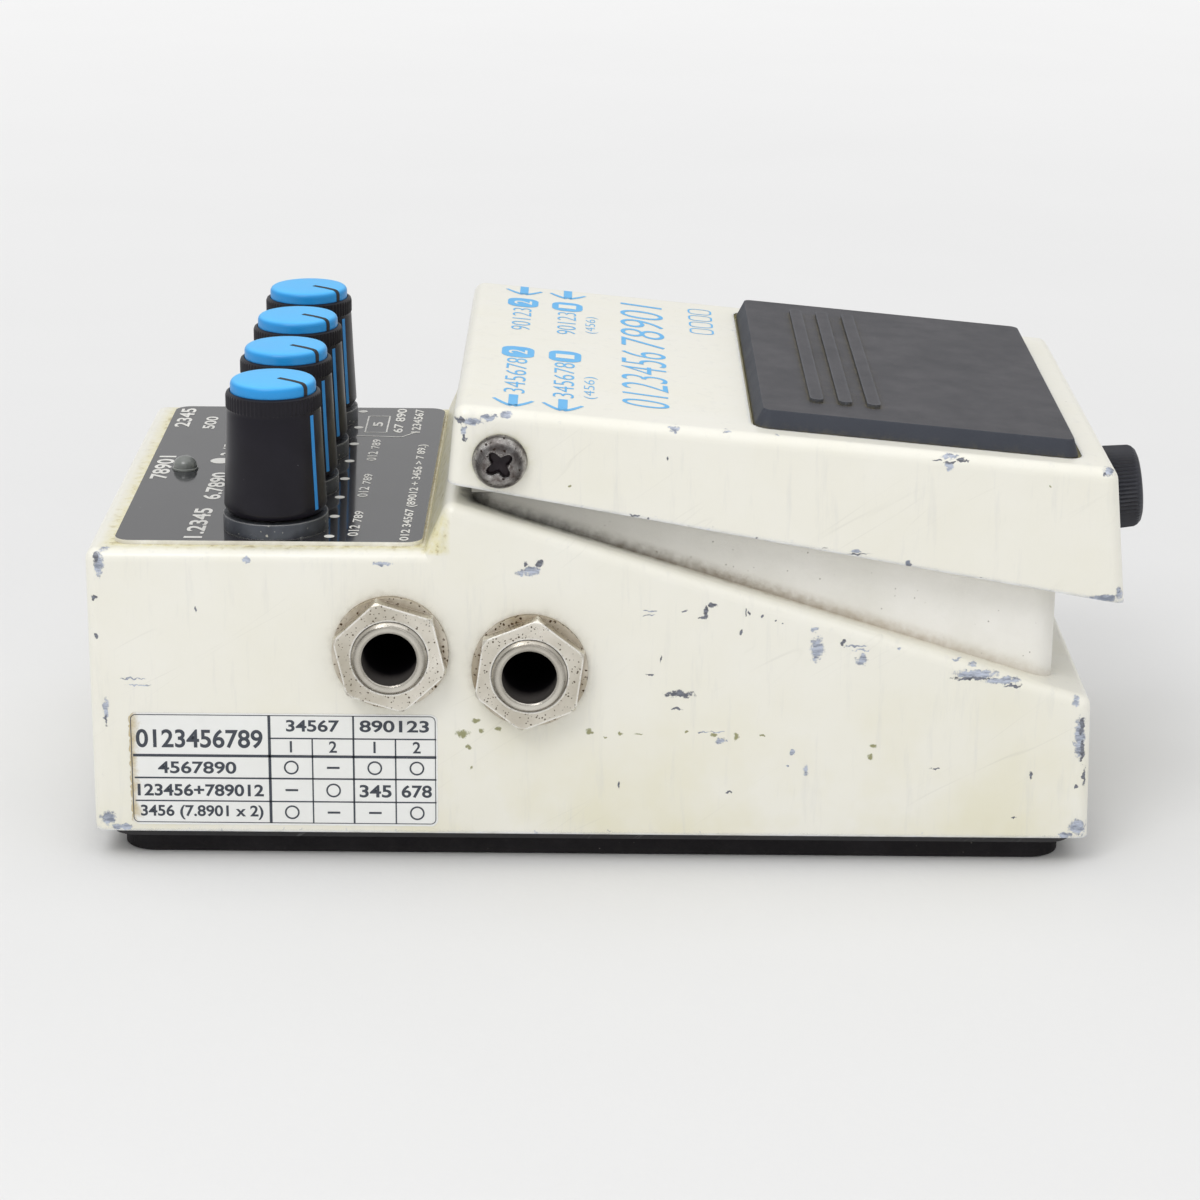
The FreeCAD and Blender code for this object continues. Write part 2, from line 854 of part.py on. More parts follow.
def jack_nuts():
    return all_jacks(lambda side, place: jack_nut((output_nut_turns if side < 0 else input_nut_turns)[place]))


def jack_washers():
    washer = ring(jack_washer_radius, jack_barrel_radius + running_fit, jack_washer_thickness,
                  vec(half_body, 0, 0), x_axis)
    return all_jacks(lambda side, place: washer)


def jack_pin(x, y, grow):
    half_x = jack_pin_width / 2 + grow
    half_y = jack_pin_thickness / 2 + grow
    top = -jack_body_height / 2
    return box((x - half_x, x + half_x), (y - half_y, y + half_y),
               (top - jack_board_thickness - jack_pin_past_board, top))


def jack_contacts():
    pins = [jack_pin(x, -jack_pin_aside, 0) for x in jack_pin_xs]
    return [placed for pin in pins for placed in all_jacks(lambda side, place: pin)]


def jack_board(side):
    low = -jack_body_height / 2 - jack_board_thickness
    board = box((jack_inner_x - jack_body_length, jack_inner_x - free_gap),
                (-jack_pitch - jack_body_width / 2, jack_body_width / 2), (low, low + jack_board_thickness))
    for place in (0, 1):
        for x in jack_pin_xs:
            board = board.cut(jack_pin(x, -jack_pin_aside - jack_pitch * place, running_fit))
    return on_jack(board, 0, side)


# Power socket, standing on the main board with its nose in the rear wall
def power_socket():
    wall_y = rear_y - body_wall
    case = box((socket_offset - socket_width / 2, socket_offset + socket_width / 2),
               (wall_y - socket_depth, wall_y), (board_top_z, board_top_z + socket_height))
    nose = rod(socket_nose, body_wall, vec(socket_offset, wall_y, socket_z), y_axis)
    bore_foot = vec(socket_offset, rear_y - socket_bore_depth, socket_z)
    bore = rod(socket_bore, socket_bore_depth, bore_foot, y_axis)
    return join([case, nose]).cut(bore).cut(power_pin())


def power_pin():
    length = socket_bore_depth + socket_pin_root - socket_pin_setback
    return rod(socket_pin, length, vec(socket_offset, rear_y - socket_pin_setback - length, socket_z), y_axis)


# Hinge, thumbscrew and the guide that its tip rides in
def hinge_screw():
    wall_x = half_body + close_gap
    head = turned([(0, 0), (hinge_head_radius, 0), (hinge_head_radius, hinge_head_height - hinge_head_edge),
                   (hinge_head_radius - hinge_head_edge, hinge_head_height), (0, hinge_head_height)])
    head = head.cut(cross_recess(hinge_cross_span, cross_width, cross_depth, hinge_head_height))
    head.rotate(origin, z_axis, 45)
    head.rotate(origin, y_axis, 90)
    head.translate(vec(wall_x, 0, 0))
    shoulder = rod(hinge_shoulder_radius, wall_x - block_half, vec(block_half, 0, 0), x_axis)
    thread = rod(hinge_thread_radius, ear_thickness, vec(block_half - ear_thickness, 0, 0), x_axis)
    screw = join([head, shoulder, thread])
    screw.translate(vec(0, hinge_y, hinge_z))
    return screw


def hinge_bush():
    inner = half_body - treadle_wall
    sleeve = rod(bush_radius, treadle_wall, vec(inner, hinge_y, hinge_z), x_axis)
    flange = rod(bush_flange_radius, bush_flange, vec(inner - bush_flange, hinge_y, hinge_z), x_axis)
    hole = rod(hinge_shoulder_radius + running_fit, treadle_wall + bush_flange,
               vec(inner - bush_flange, hinge_y, hinge_z), x_axis)
    return join([sleeve, flange]).cut(hole)


def thumbscrew_head():
    end = free_gap + thumb_length
    grip = fluted([(thumb_radius - thumb_edge / 2, free_gap), (thumb_radius, free_gap + thumb_edge / 2),
                   (thumb_end_radius, end - thumb_edge), (thumb_end_radius - thumb_edge, end)],
                  thumb_flute_depth, thumb_flutes)
    socket = rod(screw_radius, thumb_length / 2, vec(0, 0, free_gap))
    return on_thumb_axis(grip.cut(socket))


# Distance along the thumbscrew's axis, inward from the treadle's face, to a depth in the block's wall
def depth_at(y):
    return (y - thumb_seat.y) / tilt_cos


def thumbscrew():
    tip = depth_at(block_front_y + tip_engagement)
    neck = screw_radius - neck_depth
    high = running_fit - clip_depth()
    low = -running_fit - clip_depth() - clip_thickness
    end = free_gap + thumb_length / 2
    stem = turned([(0, -tip), (neck, -tip), (screw_radius, neck_depth - tip), (screw_radius, low),
                   (neck, low), (neck, high), (screw_radius, high), (screw_radius, end), (0, end)])
    return on_thumb_axis(stem)


# How far in the clip lies, so that it lets the tip leave the guide
def clip_depth():
    return treadle_wall + thread_pitch * release_turns + close_gap


def thumbscrew_clip():
    low = -clip_depth() - clip_thickness
    clip = ring(clip_radius, screw_radius - neck_depth + running_fit, clip_thickness, vec(0, 0, low))
    gap = box((-clip_gap / 2, clip_gap / 2), (0, clip_radius + 1), (low, low + clip_thickness))
    return on_thumb_axis(clip.cut(gap))


def guide_bush():
    inner_y = tub_front_y + guide_flange
    sleeve = guide_slot(guide_side, (block_front_y, tub_front_y))
    flange = guide_slot(guide_side + guide_lip, (tub_front_y, inner_y))
    return join([sleeve, flange]).cut(guide_slot(0, (block_front_y - 1, inner_y + 1)))


# Treadle: an upturned tray made flat at the origin of its hinge, then set at its slope
def treadle_outline(inset):
    lean = math.tan(math.radians(front_lean))
    top = treadle_top - inset
    front_low = -treadle_reach + inset / lean_cos
    rear = treadle_rear - (treadle_rear_wall if inset else 0)
    low = cut_past if inset else 0
    front_z = edge_at(-treadle_reach)
    return [(rear, edge_at(rear) - low), (rear, top), (front_low + (top - front_z) * lean, top),
            (front_low - low * lean, front_z - low)]


def pad_recess():
    half = pad_half + pad_recess_margin
    front, rear = pad_ends()
    return plate((-half, half), (front - pad_recess_margin, rear + pad_recess_margin),
                 (treadle_top - pad_sunk, treadle_top + 1), pad_corner + pad_recess_margin)


def pad_ends():
    front = -treadle_reach + pad_front_margin + (treadle_top - edge_at(-treadle_reach)) * lean_sin / lean_cos
    return front, front + pad_length


def treadle():
    shell = side_prism(treadle_outline(0), half_body)
    low_faces = [e for e in shell.Edges if e.BoundBox.ZMax < edge_at(treadle_rear) + 0.01]
    keep = [e for e in shell.Edges if not any(e.isSame(low) for low in low_faces)]
    shell = shell.makeFillet(treadle_round, keep)
    room = side_prism(treadle_outline(treadle_wall), half_body - treadle_wall)
    shell = shell.cut(room).cut(pad_recess())
    web_half = tub_half - 2 * free_gap
    web = box((-web_half, web_half),
              (-web_from_hinge - web_thickness / 2, -web_from_hinge + web_thickness / 2),
              (treadle_under - web_depth, treadle_under + treadle_wall / 4))
    shell = join([shell, web])
    for x in (-half_body - 1, half_body - cut_past):
        shell = shell.cut(rod(bush_radius, cut_past + 1, vec(x, 0, 0), x_axis))
    shell = on_treadle(shell)
    return shell.cut(on_thumb_axis(rod(screw_radius + running_fit, 2 * cut_past, vec(0, 0, -cut_past))))


def treadle_pad():
    front, rear = pad_ends()
    top_z = treadle_top + pad_height
    edge = rounded_loop(pad_half, (front, rear), treadle_top, pad_corner)
    top = rounded_loop(pad_half - pad_draft, (front + pad_draft, rear - pad_draft), top_z, pad_top_corner)
    sunk = plate((-pad_half, pad_half), (front, rear), (treadle_top - pad_sunk, treadle_top), pad_corner)
    ribs = []
    for i in range(rib_count):
        y = rear - rib_from_edge - rib_pitch * i
        ribs.append(plate((-rib_length / 2, rib_length / 2), (y - rib_width, y),
                          (top_z - pad_height / 2, top_z + rib_height), rib_width / 2 - running_fit))
    return on_treadle(join([sunk, Part.makeLoft([edge, top], True, True)] + ribs))


# Spring seat under the treadle, and the coil spring as the sleeve that its turns fill
def spring_seat():
    flange = rod(seat_flange_radius, seat_flange, vec(0, -spring_from_hinge, treadle_under - seat_flange))
    post_radius = spring_radius - spring_wire - free_gap
    post = Part.makeCone(post_radius, post_radius - seat_post_taper, seat_post_height,
                         vec(0, -spring_from_hinge, treadle_under - seat_flange), z_axis * -1)
    return on_treadle(join([flange, post]))


def return_spring():
    lowest = treadle_point(-spring_from_hinge - spring_outside, treadle_under - seat_flange)
    height = lowest.z - close_gap - tub_floor_z
    return ring(spring_outside, spring_radius - spring_wire, height,
                vec(0, spring_y, tub_floor_z))


# Footswitch on its pillar, worked by a pusher under the treadle
def footswitch_body():
    half = switch_size / 2
    case = box((switch_offset - half, switch_offset + half), (spring_y - half, spring_y + half),
               (tub_floor_z + switch_pillar_height, switch_top_z))
    case = case.makeChamfer(switch_corner, upright_edges(case))
    return case.cut(rod(plunger_radius + running_fit, cut_past,
                        vec(switch_offset, spring_y, switch_top_z - plunger_travel_room)))


def footswitch_plunger():
    foot = switch_top_z - plunger_travel_room + spring_from_hinge * press_fall + close_gap
    return rod(plunger_radius, plunger_top_z - foot, vec(switch_offset, spring_y, foot))


def switch_pusher():
    room = box((0, half_body), (front_y, rear_y), (plunger_top_z + free_gap, hinge_z + cut_past))
    drop = treadle_point(-spring_from_hinge, treadle_under).z - plunger_top_z
    post = rod(pusher_radius, 2 * drop, vec(switch_offset, -spring_from_hinge, treadle_under - 2 * drop))
    return on_treadle(post).common(room)


# Battery
def battery():
    low = tub_floor_z + battery_cushion
    case = box((-battery_length / 2, battery_length / 2),
               (battery_y - battery_width / 2, battery_y + battery_width / 2), (low, low + battery_thickness))
    long_edges = [e for e in case.Edges if abs(e.Vertexes[0].X - e.Vertexes[1].X) > 1]
    return case.makeFillet(battery_round, long_edges)


def battery_terminals():
    middle = vec(battery_length / 2, battery_y, tub_floor_z + battery_cushion + battery_thickness / 2)
    aside = vec(0, terminal_pitch / 2, 0)
    stud = rod(stud_radius, terminal_height, middle - aside, x_axis)
    socket = ring(socket_radius, stud_radius, terminal_height, middle + aside, x_axis)
    return [stud, socket]


def battery_foam():
    half = battery_length / 2 - cushion_margin
    reach = battery_width / 2 - cushion_margin
    return box((-half, half), (battery_y - reach, battery_y + reach),
               (tub_floor_z, tub_floor_z + battery_cushion))


def save(name, shapes):
    whole = shapes if isinstance(shapes, list) else [shapes]
    solids = [solid for shape in whole for solid in shape.Solids]
    result = solids[0] if len(solids) == 1 else Part.makeCompound(solids)
    result.exportStep("parts/" + name + ".step")
    print(name, len(solids), "solids", round(sum(s.Volume for s in solids), 1), "mm3")


def main():
    os.makedirs("parts", exist_ok=True)
    save("housing", housing())
    save("bottom_cover", bottom_cover())
    save("base_rubber", base_rubber())
    save("base_screws", base_screws())
    save("insulating_sheet", insulating_sheet())
    save("main_board", main_board())
    save("main_board_chips", main_board_chips())
    save("main_board_capacitors", main_board_capacitors())
    save("main_board_screws", main_board_screws())
    save("board_link", board_link())
    save("panel_board", panel_board())
    save("control_panel", control_panel())
    save("check_led", check_led())
    save("led_holder", led_holder())
    for name, x in zip(("level", "feedback", "time"), knob_xs):
        save(name + "_pot", pot(x))
    save("mode_switch", mode_switch())
    save("pot_nuts", pot_nuts())
    for name, x in zip(("level", "feedback", "time", "mode"), knob_xs):
        save(name + "_shaft", shaft(x))
        save(name + "_knob", knob(x))
        save(name + "_knob_cap", knob_cap(x))
    for side, group in ((-1, "output"), (1, "input")):
        save(group + "_b_jack", on_jack(jack(), 0, side))
        save(group + "_a_jack", on_jack(jack(), 1, side))
        save(group + "_jack_board", jack_board(side))
    save("jack_washers", jack_washers())
    save("jack_nuts", jack_nuts())
    save("jack_contacts", jack_contacts())
    save("power_socket", power_socket())
    save("power_pin", power_pin())
    save("hinge_screws", both_sides(hinge_screw()))
    save("hinge_bushes", both_sides(hinge_bush()))
    save("guide_bush", guide_bush())
    save("treadle", treadle())
    save("treadle_pad", treadle_pad())
    save("spring_seat", spring_seat())
    save("return_spring", return_spring())
    save("switch_pusher", switch_pusher())
    save("footswitch_body", footswitch_body())
    save("footswitch_plunger", footswitch_plunger())
    save("thumbscrew", thumbscrew())
    save("thumbscrew_head", thumbscrew_head())
    save("thumbscrew_clip", thumbscrew_clip())
    save("battery", battery())
    save("battery_terminals", battery_terminals())
    save("battery_foam", battery_foam())


main()
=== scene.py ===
import json
import math
import bpy
from mathutils import Matrix, Vector

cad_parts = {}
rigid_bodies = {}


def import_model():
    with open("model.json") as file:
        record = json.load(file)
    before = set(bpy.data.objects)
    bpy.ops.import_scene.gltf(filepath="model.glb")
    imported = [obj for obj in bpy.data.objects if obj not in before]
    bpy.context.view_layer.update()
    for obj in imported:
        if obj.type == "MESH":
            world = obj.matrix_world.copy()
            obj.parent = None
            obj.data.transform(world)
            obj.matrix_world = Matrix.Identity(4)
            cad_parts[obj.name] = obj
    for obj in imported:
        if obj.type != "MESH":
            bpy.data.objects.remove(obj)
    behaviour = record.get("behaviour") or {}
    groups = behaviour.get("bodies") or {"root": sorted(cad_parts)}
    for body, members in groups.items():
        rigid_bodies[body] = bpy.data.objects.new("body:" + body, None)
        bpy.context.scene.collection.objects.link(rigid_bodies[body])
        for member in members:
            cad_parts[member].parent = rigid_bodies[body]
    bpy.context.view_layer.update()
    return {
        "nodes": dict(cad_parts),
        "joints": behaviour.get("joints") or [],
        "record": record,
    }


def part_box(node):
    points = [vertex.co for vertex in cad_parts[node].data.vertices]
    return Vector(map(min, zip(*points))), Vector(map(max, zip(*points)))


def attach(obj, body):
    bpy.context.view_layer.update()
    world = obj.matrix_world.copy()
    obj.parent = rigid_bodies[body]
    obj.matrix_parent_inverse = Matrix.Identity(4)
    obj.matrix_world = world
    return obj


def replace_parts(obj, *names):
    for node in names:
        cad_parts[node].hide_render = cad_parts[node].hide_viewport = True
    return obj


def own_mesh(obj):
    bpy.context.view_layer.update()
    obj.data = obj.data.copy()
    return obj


# Compact delay pedal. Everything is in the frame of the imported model, sizes here in millimetres.

for leftover in list(bpy.data.objects):
    bpy.data.objects.remove(leftover)
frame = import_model()
nodes = frame["nodes"]
jointOf = {joint["name"]: joint for joint in frame["joints"]}
mountOf = {mount["name"]: mount for mount in frame["record"]["mounts"]}
mm = 0.001
controls = ["level", "feedback", "time", "mode"]
sideFace = -33.5  # x of the housing's photographed side
print("frame loaded with", len(nodes), "nodes")


# ---- small helpers for shaders
def shade(red, green, blue):  # a colour as a screen shows it, 0 to 255
    parts = [value / 255 for value in (red, green, blue)]
    return tuple(v / 12.92 if v <= 0.04045 else ((v + 0.055) / 1.055) ** 2.4 for v in parts) + (1.0,)


def feed(tree, node, inputs):  # links what comes from another node, sets what is a plain value
    for key, value in inputs.items():
        if isinstance(value, bpy.types.NodeSocket):
            tree.links.new(value, node.inputs[key])
        else:
            node.inputs[key].default_value = value


def put(tree, kind, inputs=None, output=0, **settings):
    made = tree.nodes.new("ShaderNode" + kind)
    for key, value in settings.items():
        setattr(made, key, value)
    feed(tree, made, inputs or {})
    return made.outputs[output]


def maths(tree, operation, first, second=0.0):
    return put(tree, "Math", {0: first, 1: second}, operation=operation)


def plus(tree, first, second):
    return maths(tree, "ADD", first, second)


def minus(tree, first, second):
    return maths(tree, "SUBTRACT", first, second)


def times(tree, first, second):
    return maths(tree, "MULTIPLY", first, second)


def larger(tree, first, second):
    return maths(tree, "MAXIMUM", first, second)


def between(tree, value, low, high, toLow=0.0, toHigh=1.0):
    ends = {"Value": value, "From Min": low, "From Max": high, "To Min": toLow, "To Max": toHigh}
    return put(tree, "MapRange", ends)


def mixed(tree, factor, first, second):
    return put(tree, "Mix", {0: factor, 6: first, 7: second}, 2, data_type="RGBA")


def cloud(tree, point, scale, detail=3.0, roughness=0.55, output=0):
    return put(tree, "TexNoise", {"Vector": point, "Scale": scale, "Detail": detail,
                                  "Roughness": roughness}, output)


def shaken(tree, point, scale, reach):  # the point moved about a little by noise
    away = put(tree, "VectorMath", {0: cloud(tree, point, scale, 2.0, 0.5, 1), 1: (0.5, 0.5, 0.5)},
               operation="SUBTRACT")
    away = put(tree, "VectorMath", {0: away, "Scale": times(tree, reach, 2.2)}, operation="SCALE")
    return put(tree, "VectorMath", {0: point, 1: away}, operation="ADD")


def pointInMm(tree):
    place = put(tree, "TexCoord", output="Object")
    return put(tree, "VectorMath", {0: place, "Scale": 1000.0}, operation="SCALE")


def stretched(tree, point, ratios):
    return put(tree, "VectorMath", {0: point, 1: ratios}, operation="MULTIPLY")


def partsOf(tree, point):
    split = put(tree, "SeparateXYZ", {0: point}).node
    return split.outputs


def newGroup(name, inputs, outputs):
    tree = bpy.data.node_groups.new(name, "ShaderNodeTree")
    for label, value in inputs.items():
        kind = "NodeSocketVector" if isinstance(value, tuple) else "NodeSocketFloat"
        tree.interface.new_socket(label, in_out="INPUT", socket_type=kind).default_value = value
    for label in outputs:
        tree.interface.new_socket(label, in_out="OUTPUT", socket_type="NodeSocketFloat")
    return tree, tree.nodes.new("NodeGroupInput").outputs, tree.nodes.new("NodeGroupOutput").inputs


def useGroup(tree, group, **inputs):
    made = tree.nodes.new("ShaderNodeGroup")
    made.node_tree = group
    feed(tree, made, inputs)
    return made.outputs[0]


# ---- effects that several finishes share
def makeFineGrain():
    tree, given, gives = newGroup("fineGrain", {"Scale": 3.0}, ["Height", "Tone"])
    point = pointInMm(tree)
    fine = cloud(tree, point, times(tree, given["Scale"], 3.7), 2.0)
    coarse = cloud(tree, point, given["Scale"], 3.0)
    height = plus(tree, times(tree, fine, 0.4), times(tree, coarse, 0.6))
    tone = cloud(tree, point, times(tree, given["Scale"], 0.05), 5.0, 0.6)
    tree.links.new(height, gives["Height"])
    tree.links.new(between(tree, tone, 0.3, 0.7), gives["Tone"])
    return tree


# mask of outer edges: worn paint, and painted highlights where a finish tints it bright
def makeEdgeWearAndHighlight():
    tree, given, gives = newGroup("edgeWearAndHighlight", {"Reach": 1.0, "Amount": 0.3}, ["Mask"])
    reach = times(tree, given["Reach"], mm)
    openness = put(tree, "AmbientOcclusion", {"Distance": reach}, "AO", inside=True, only_local=True,
                samples=3)
    ragged = minus(tree, cloud(tree, pointInMm(tree), 0.8, 5.0, 0.65), 0.5)
    edge = times(tree, minus(tree, 1.0, openness), 2.0)
    field = plus(tree, edge, times(tree, ragged, 1.8))
    start = minus(tree, 1.0, given["Amount"])
    tree.links.new(between(tree, field, start, plus(tree, start, 0.07)), gives["Mask"])
    return tree


# mask of corners and hollows found by ambient occlusion: grime, and painted shade where a finish tints it dark
def makeCreviceDirtAndShade():
    tree, given, gives = newGroup("creviceDirtAndShade", {"Reach": 3.0, "Start": 0.3, "Full": 0.85}, ["Mask"])
    reach = times(tree, given["Reach"], mm)
    openness = put(tree, "AmbientOcclusion", {"Distance": reach}, "AO", samples=3)
    ragged = minus(tree, cloud(tree, pointInMm(tree), 0.9, 5.0, 0.65), 0.5)
    field = plus(tree, minus(tree, 1.0, openness), times(tree, ragged, 0.7))
    tree.links.new(between(tree, field, given["Start"], given["Full"]), gives["Mask"])
    return tree


def makeSpecks():
    tree, given, gives = newGroup("specks", {"Spacing": 2.0, "Share": 0.2, "Size": 0.2}, ["Mask"])
    scale = maths(tree, "DIVIDE", 1.0, given["Spacing"])
    point = pointInMm(tree)
    finer = maths(tree, "DIVIDE", 0.7, given["Size"])
    cell = put(tree, "TexVoronoi", {"Vector": shaken(tree, point, finer, given["Size"]),
                                    "Scale": scale}).node
    chance = put(tree, "SeparateColor", {0: cell.outputs["Color"]}).node
    radius = times(tree, times(tree, given["Size"], scale), plus(tree, chance.outputs[1], 0.3))
    dot = between(tree, cell.outputs["Distance"], times(tree, radius, 0.7), radius, 1.0, 0.0)
    kept = maths(tree, "LESS_THAN", chance.outputs[0], given["Share"])
    tree.links.new(times(tree, dot, kept), gives["Mask"])
    return tree


def makeScratches():
    tree, given, gives = newGroup("fineScratches", {"Scale": 0.2, "Share": 0.5}, ["Mask"])
    turned = put(tree, "VectorRotate", {"Vector": pointInMm(tree), "Angle": 0.6}, rotation_type="X_AXIS")
    drawn = stretched(tree, turned, (1.0, 0.12, 1.6))
    line = maths(tree, "ABSOLUTE", minus(tree, cloud(tree, drawn, given["Scale"], 2.0), 0.5))
    thin = between(tree, line, 0.0, 0.006, 1.0, 0.0)
    patch = cloud(tree, turned, 0.11, 2.0)
    kept = between(tree, patch, minus(tree, 1.0, given["Share"]), 0.75)
    tree.links.new(times(tree, thin, kept), gives["Mask"])
    return tree


def makePaintChip():
    inputs = {"Point": (0.0, 0.0, 0.0), "Centre": (0.0, 0.0, 0.0), "Spread": (1.0, 1.0, 1.0)}
    tree, given, gives = newGroup("paintChip", inputs, ["Distance"])
    away = put(tree, "VectorMath", {0: given["Point"], 1: given["Centre"]}, operation="SUBTRACT")
    scaled = put(tree, "VectorMath", {0: away, 1: given["Spread"]}, operation="DIVIDE")
    tree.links.new(put(tree, "VectorMath", {0: scaled}, "Value", operation="LENGTH"), gives["Distance"])
    return tree


fineGrain = makeFineGrain()
edgeWearAndHighlight = makeEdgeWearAndHighlight()
creviceDirtAndShade = makeCreviceDirtAndShade()
specks = makeSpecks()
fineScratches = makeScratches()
paintChip = makePaintChip()


def newMaterial(name):
    material = bpy.data.materials.new(name)
    material.use_nodes = True
    return material, material.node_tree, material.node_tree.nodes["Principled BSDF"]


plainLook = {
    "colour": (128, 128, 128), "second": (110, 110, 110), "side": None, "roughness": 0.5, "rougher": 0.12,
    "metallic": 0.0, "specular": 0.5, "see": 0.0, "coat": 0.0, "coatRoughness": 0.12, "grain": 3.0,
    "bump": 0.02, "round": 0.0, "bands": 0.0,
    "dirt": (0.3, 2.0, (70, 58, 42)),  # how much, how far from a corner, colour; grime, and painted shade where the colour is dark
    "wear": None,  # how much, how far from an edge, colour; worn edges, and painted highlights where the colour is bright
    "specks": None,  # share, spacing, size, colour
    "scratches": None}  # share, colour


# One finish with tone, grime and painted shade in corners, specks, scratches, worn edges and painted edge
# highlights, and a fine relief
def finish(name, **look):
    look = {**plainLook, **look}
    material, tree, shader = newMaterial(name)
    grain = useGroup(tree, fineGrain, Scale=look["grain"]).node.outputs
    colour = mixed(tree, grain["Tone"], shade(*look["colour"]), shade(*look["second"]))
    rough = between(tree, grain["Tone"], 0.0, 1.0, look["roughness"], look["roughness"] + look["rougher"])
    if look["side"]:  # painted shade: another, darker tone where the surface doesn't face up
        upward = partsOf(tree, put(tree, "TexCoord", output="Normal"))["Z"]
        colour = mixed(tree, between(tree, upward, 0.45, 0.9), shade(*look["side"]), colour)
    rounded = put(tree, "Bevel", {"Radius": look["round"] * mm}, samples=4) if look["round"] else None
    if look["bands"]:  # painted reflection: light and dark rings, as a polished rounded edge mirrors them
        facing = partsOf(tree, rounded)
        tilt = minus(tree, 1.0, maths(tree, "ABSOLUTE", facing["X"]))
        wave = plus(tree, times(tree, tilt, 9.0), times(tree, facing["Z"], 2.0))
        ring = between(tree, maths(tree, "SINE", wave), -0.2, 0.9, 0.0, look["bands"])
        colour = mixed(tree, ring, colour, shade(*look["dirt"][2]))
    if look["scratches"]:
        share, tone = look["scratches"]
        marks = useGroup(tree, fineScratches, Scale=0.35, Share=share)
        colour = mixed(tree, marks, colour, shade(*tone))
    if look["specks"]:
        share, spacing, size, tone = look["specks"]
        dots = useGroup(tree, specks, Spacing=spacing, Share=share, Size=size)
        colour = mixed(tree, dots, colour, shade(*tone))
        rough = larger(tree, rough, times(tree, dots, 0.8))
    # tinted towards corners and hollows: grime, and painted shade where the colour is dark
    if look["dirt"]:
        amount, reach, tone = look["dirt"]
        grimeAndShade = times(tree, useGroup(tree, creviceDirtAndShade, Reach=reach), amount)
        colour = mixed(tree, grimeAndShade, colour, shade(*tone))
        rough = larger(tree, rough, times(tree, grimeAndShade, 0.8))
    # edges tinted: worn edges, and painted highlights where the colour is bright
    if look["wear"]:
        amount, reach, tone = look["wear"]
        worn = useGroup(tree, edgeWearAndHighlight, Reach=reach, Amount=amount)
        colour = mixed(tree, worn, colour, shade(*tone))
    relief = {"Distance": look["bump"] * mm, "Height": grain["Height"]}
    if rounded:
        relief["Normal"] = rounded
    feed(tree, shader, {"Base Color": colour, "Roughness": rough, "Metallic": look["metallic"],
                        "Coat Weight": look["coat"], "Coat Roughness": look["coatRoughness"],
                        "Transmission Weight": look["see"], "Specular IOR Level": look["specular"],
                        "Normal": put(tree, "Bump", relief)})
    return material


# ---- cream paint of the casting and the treadle
creamPaint = {
    "cream": (242, 240, 230), "aged": (236, 233, 217), "patch": (230, 225, 194), "grimeAndShade": (112, 94, 62),
    "margin": (226, 219, 172), "padMargin": (196, 188, 124), "seamDirtAndShade": (42, 34, 26),
    "silver": (190, 197, 212), "silverDark": (124, 131, 146), "mark": (126, 130, 141),
    "markDark": (84, 86, 94), "smear": (212, 212, 208), "spatter": (126, 126, 62),
    "brown": (168, 150, 100), "toeDirt": (158, 134, 96), "speck": (104, 96, 78), "hair": (178, 176, 166)}
paintSheen = {"roughness": 0.3, "rougher": 0.12, "coat": 0.3, "coatRoughness": 0.16, "chipDepth": 0.05}
# the yellowed deck round the panel and step behind it; a mask goes from start and full to fading and end
deckStain = {"middleY": 43.14, "halfX": 31.0, "halfY": 18.05, "reach": (0.4, 1.9),
             "deckHeight": (37.6, 38.4, 39.0, 39.6), "stepHeight": (38.2, 38.7, 42.6, 44.4),
             "stepDepth": (21.6, 22.4, 25.0, 25.3)}
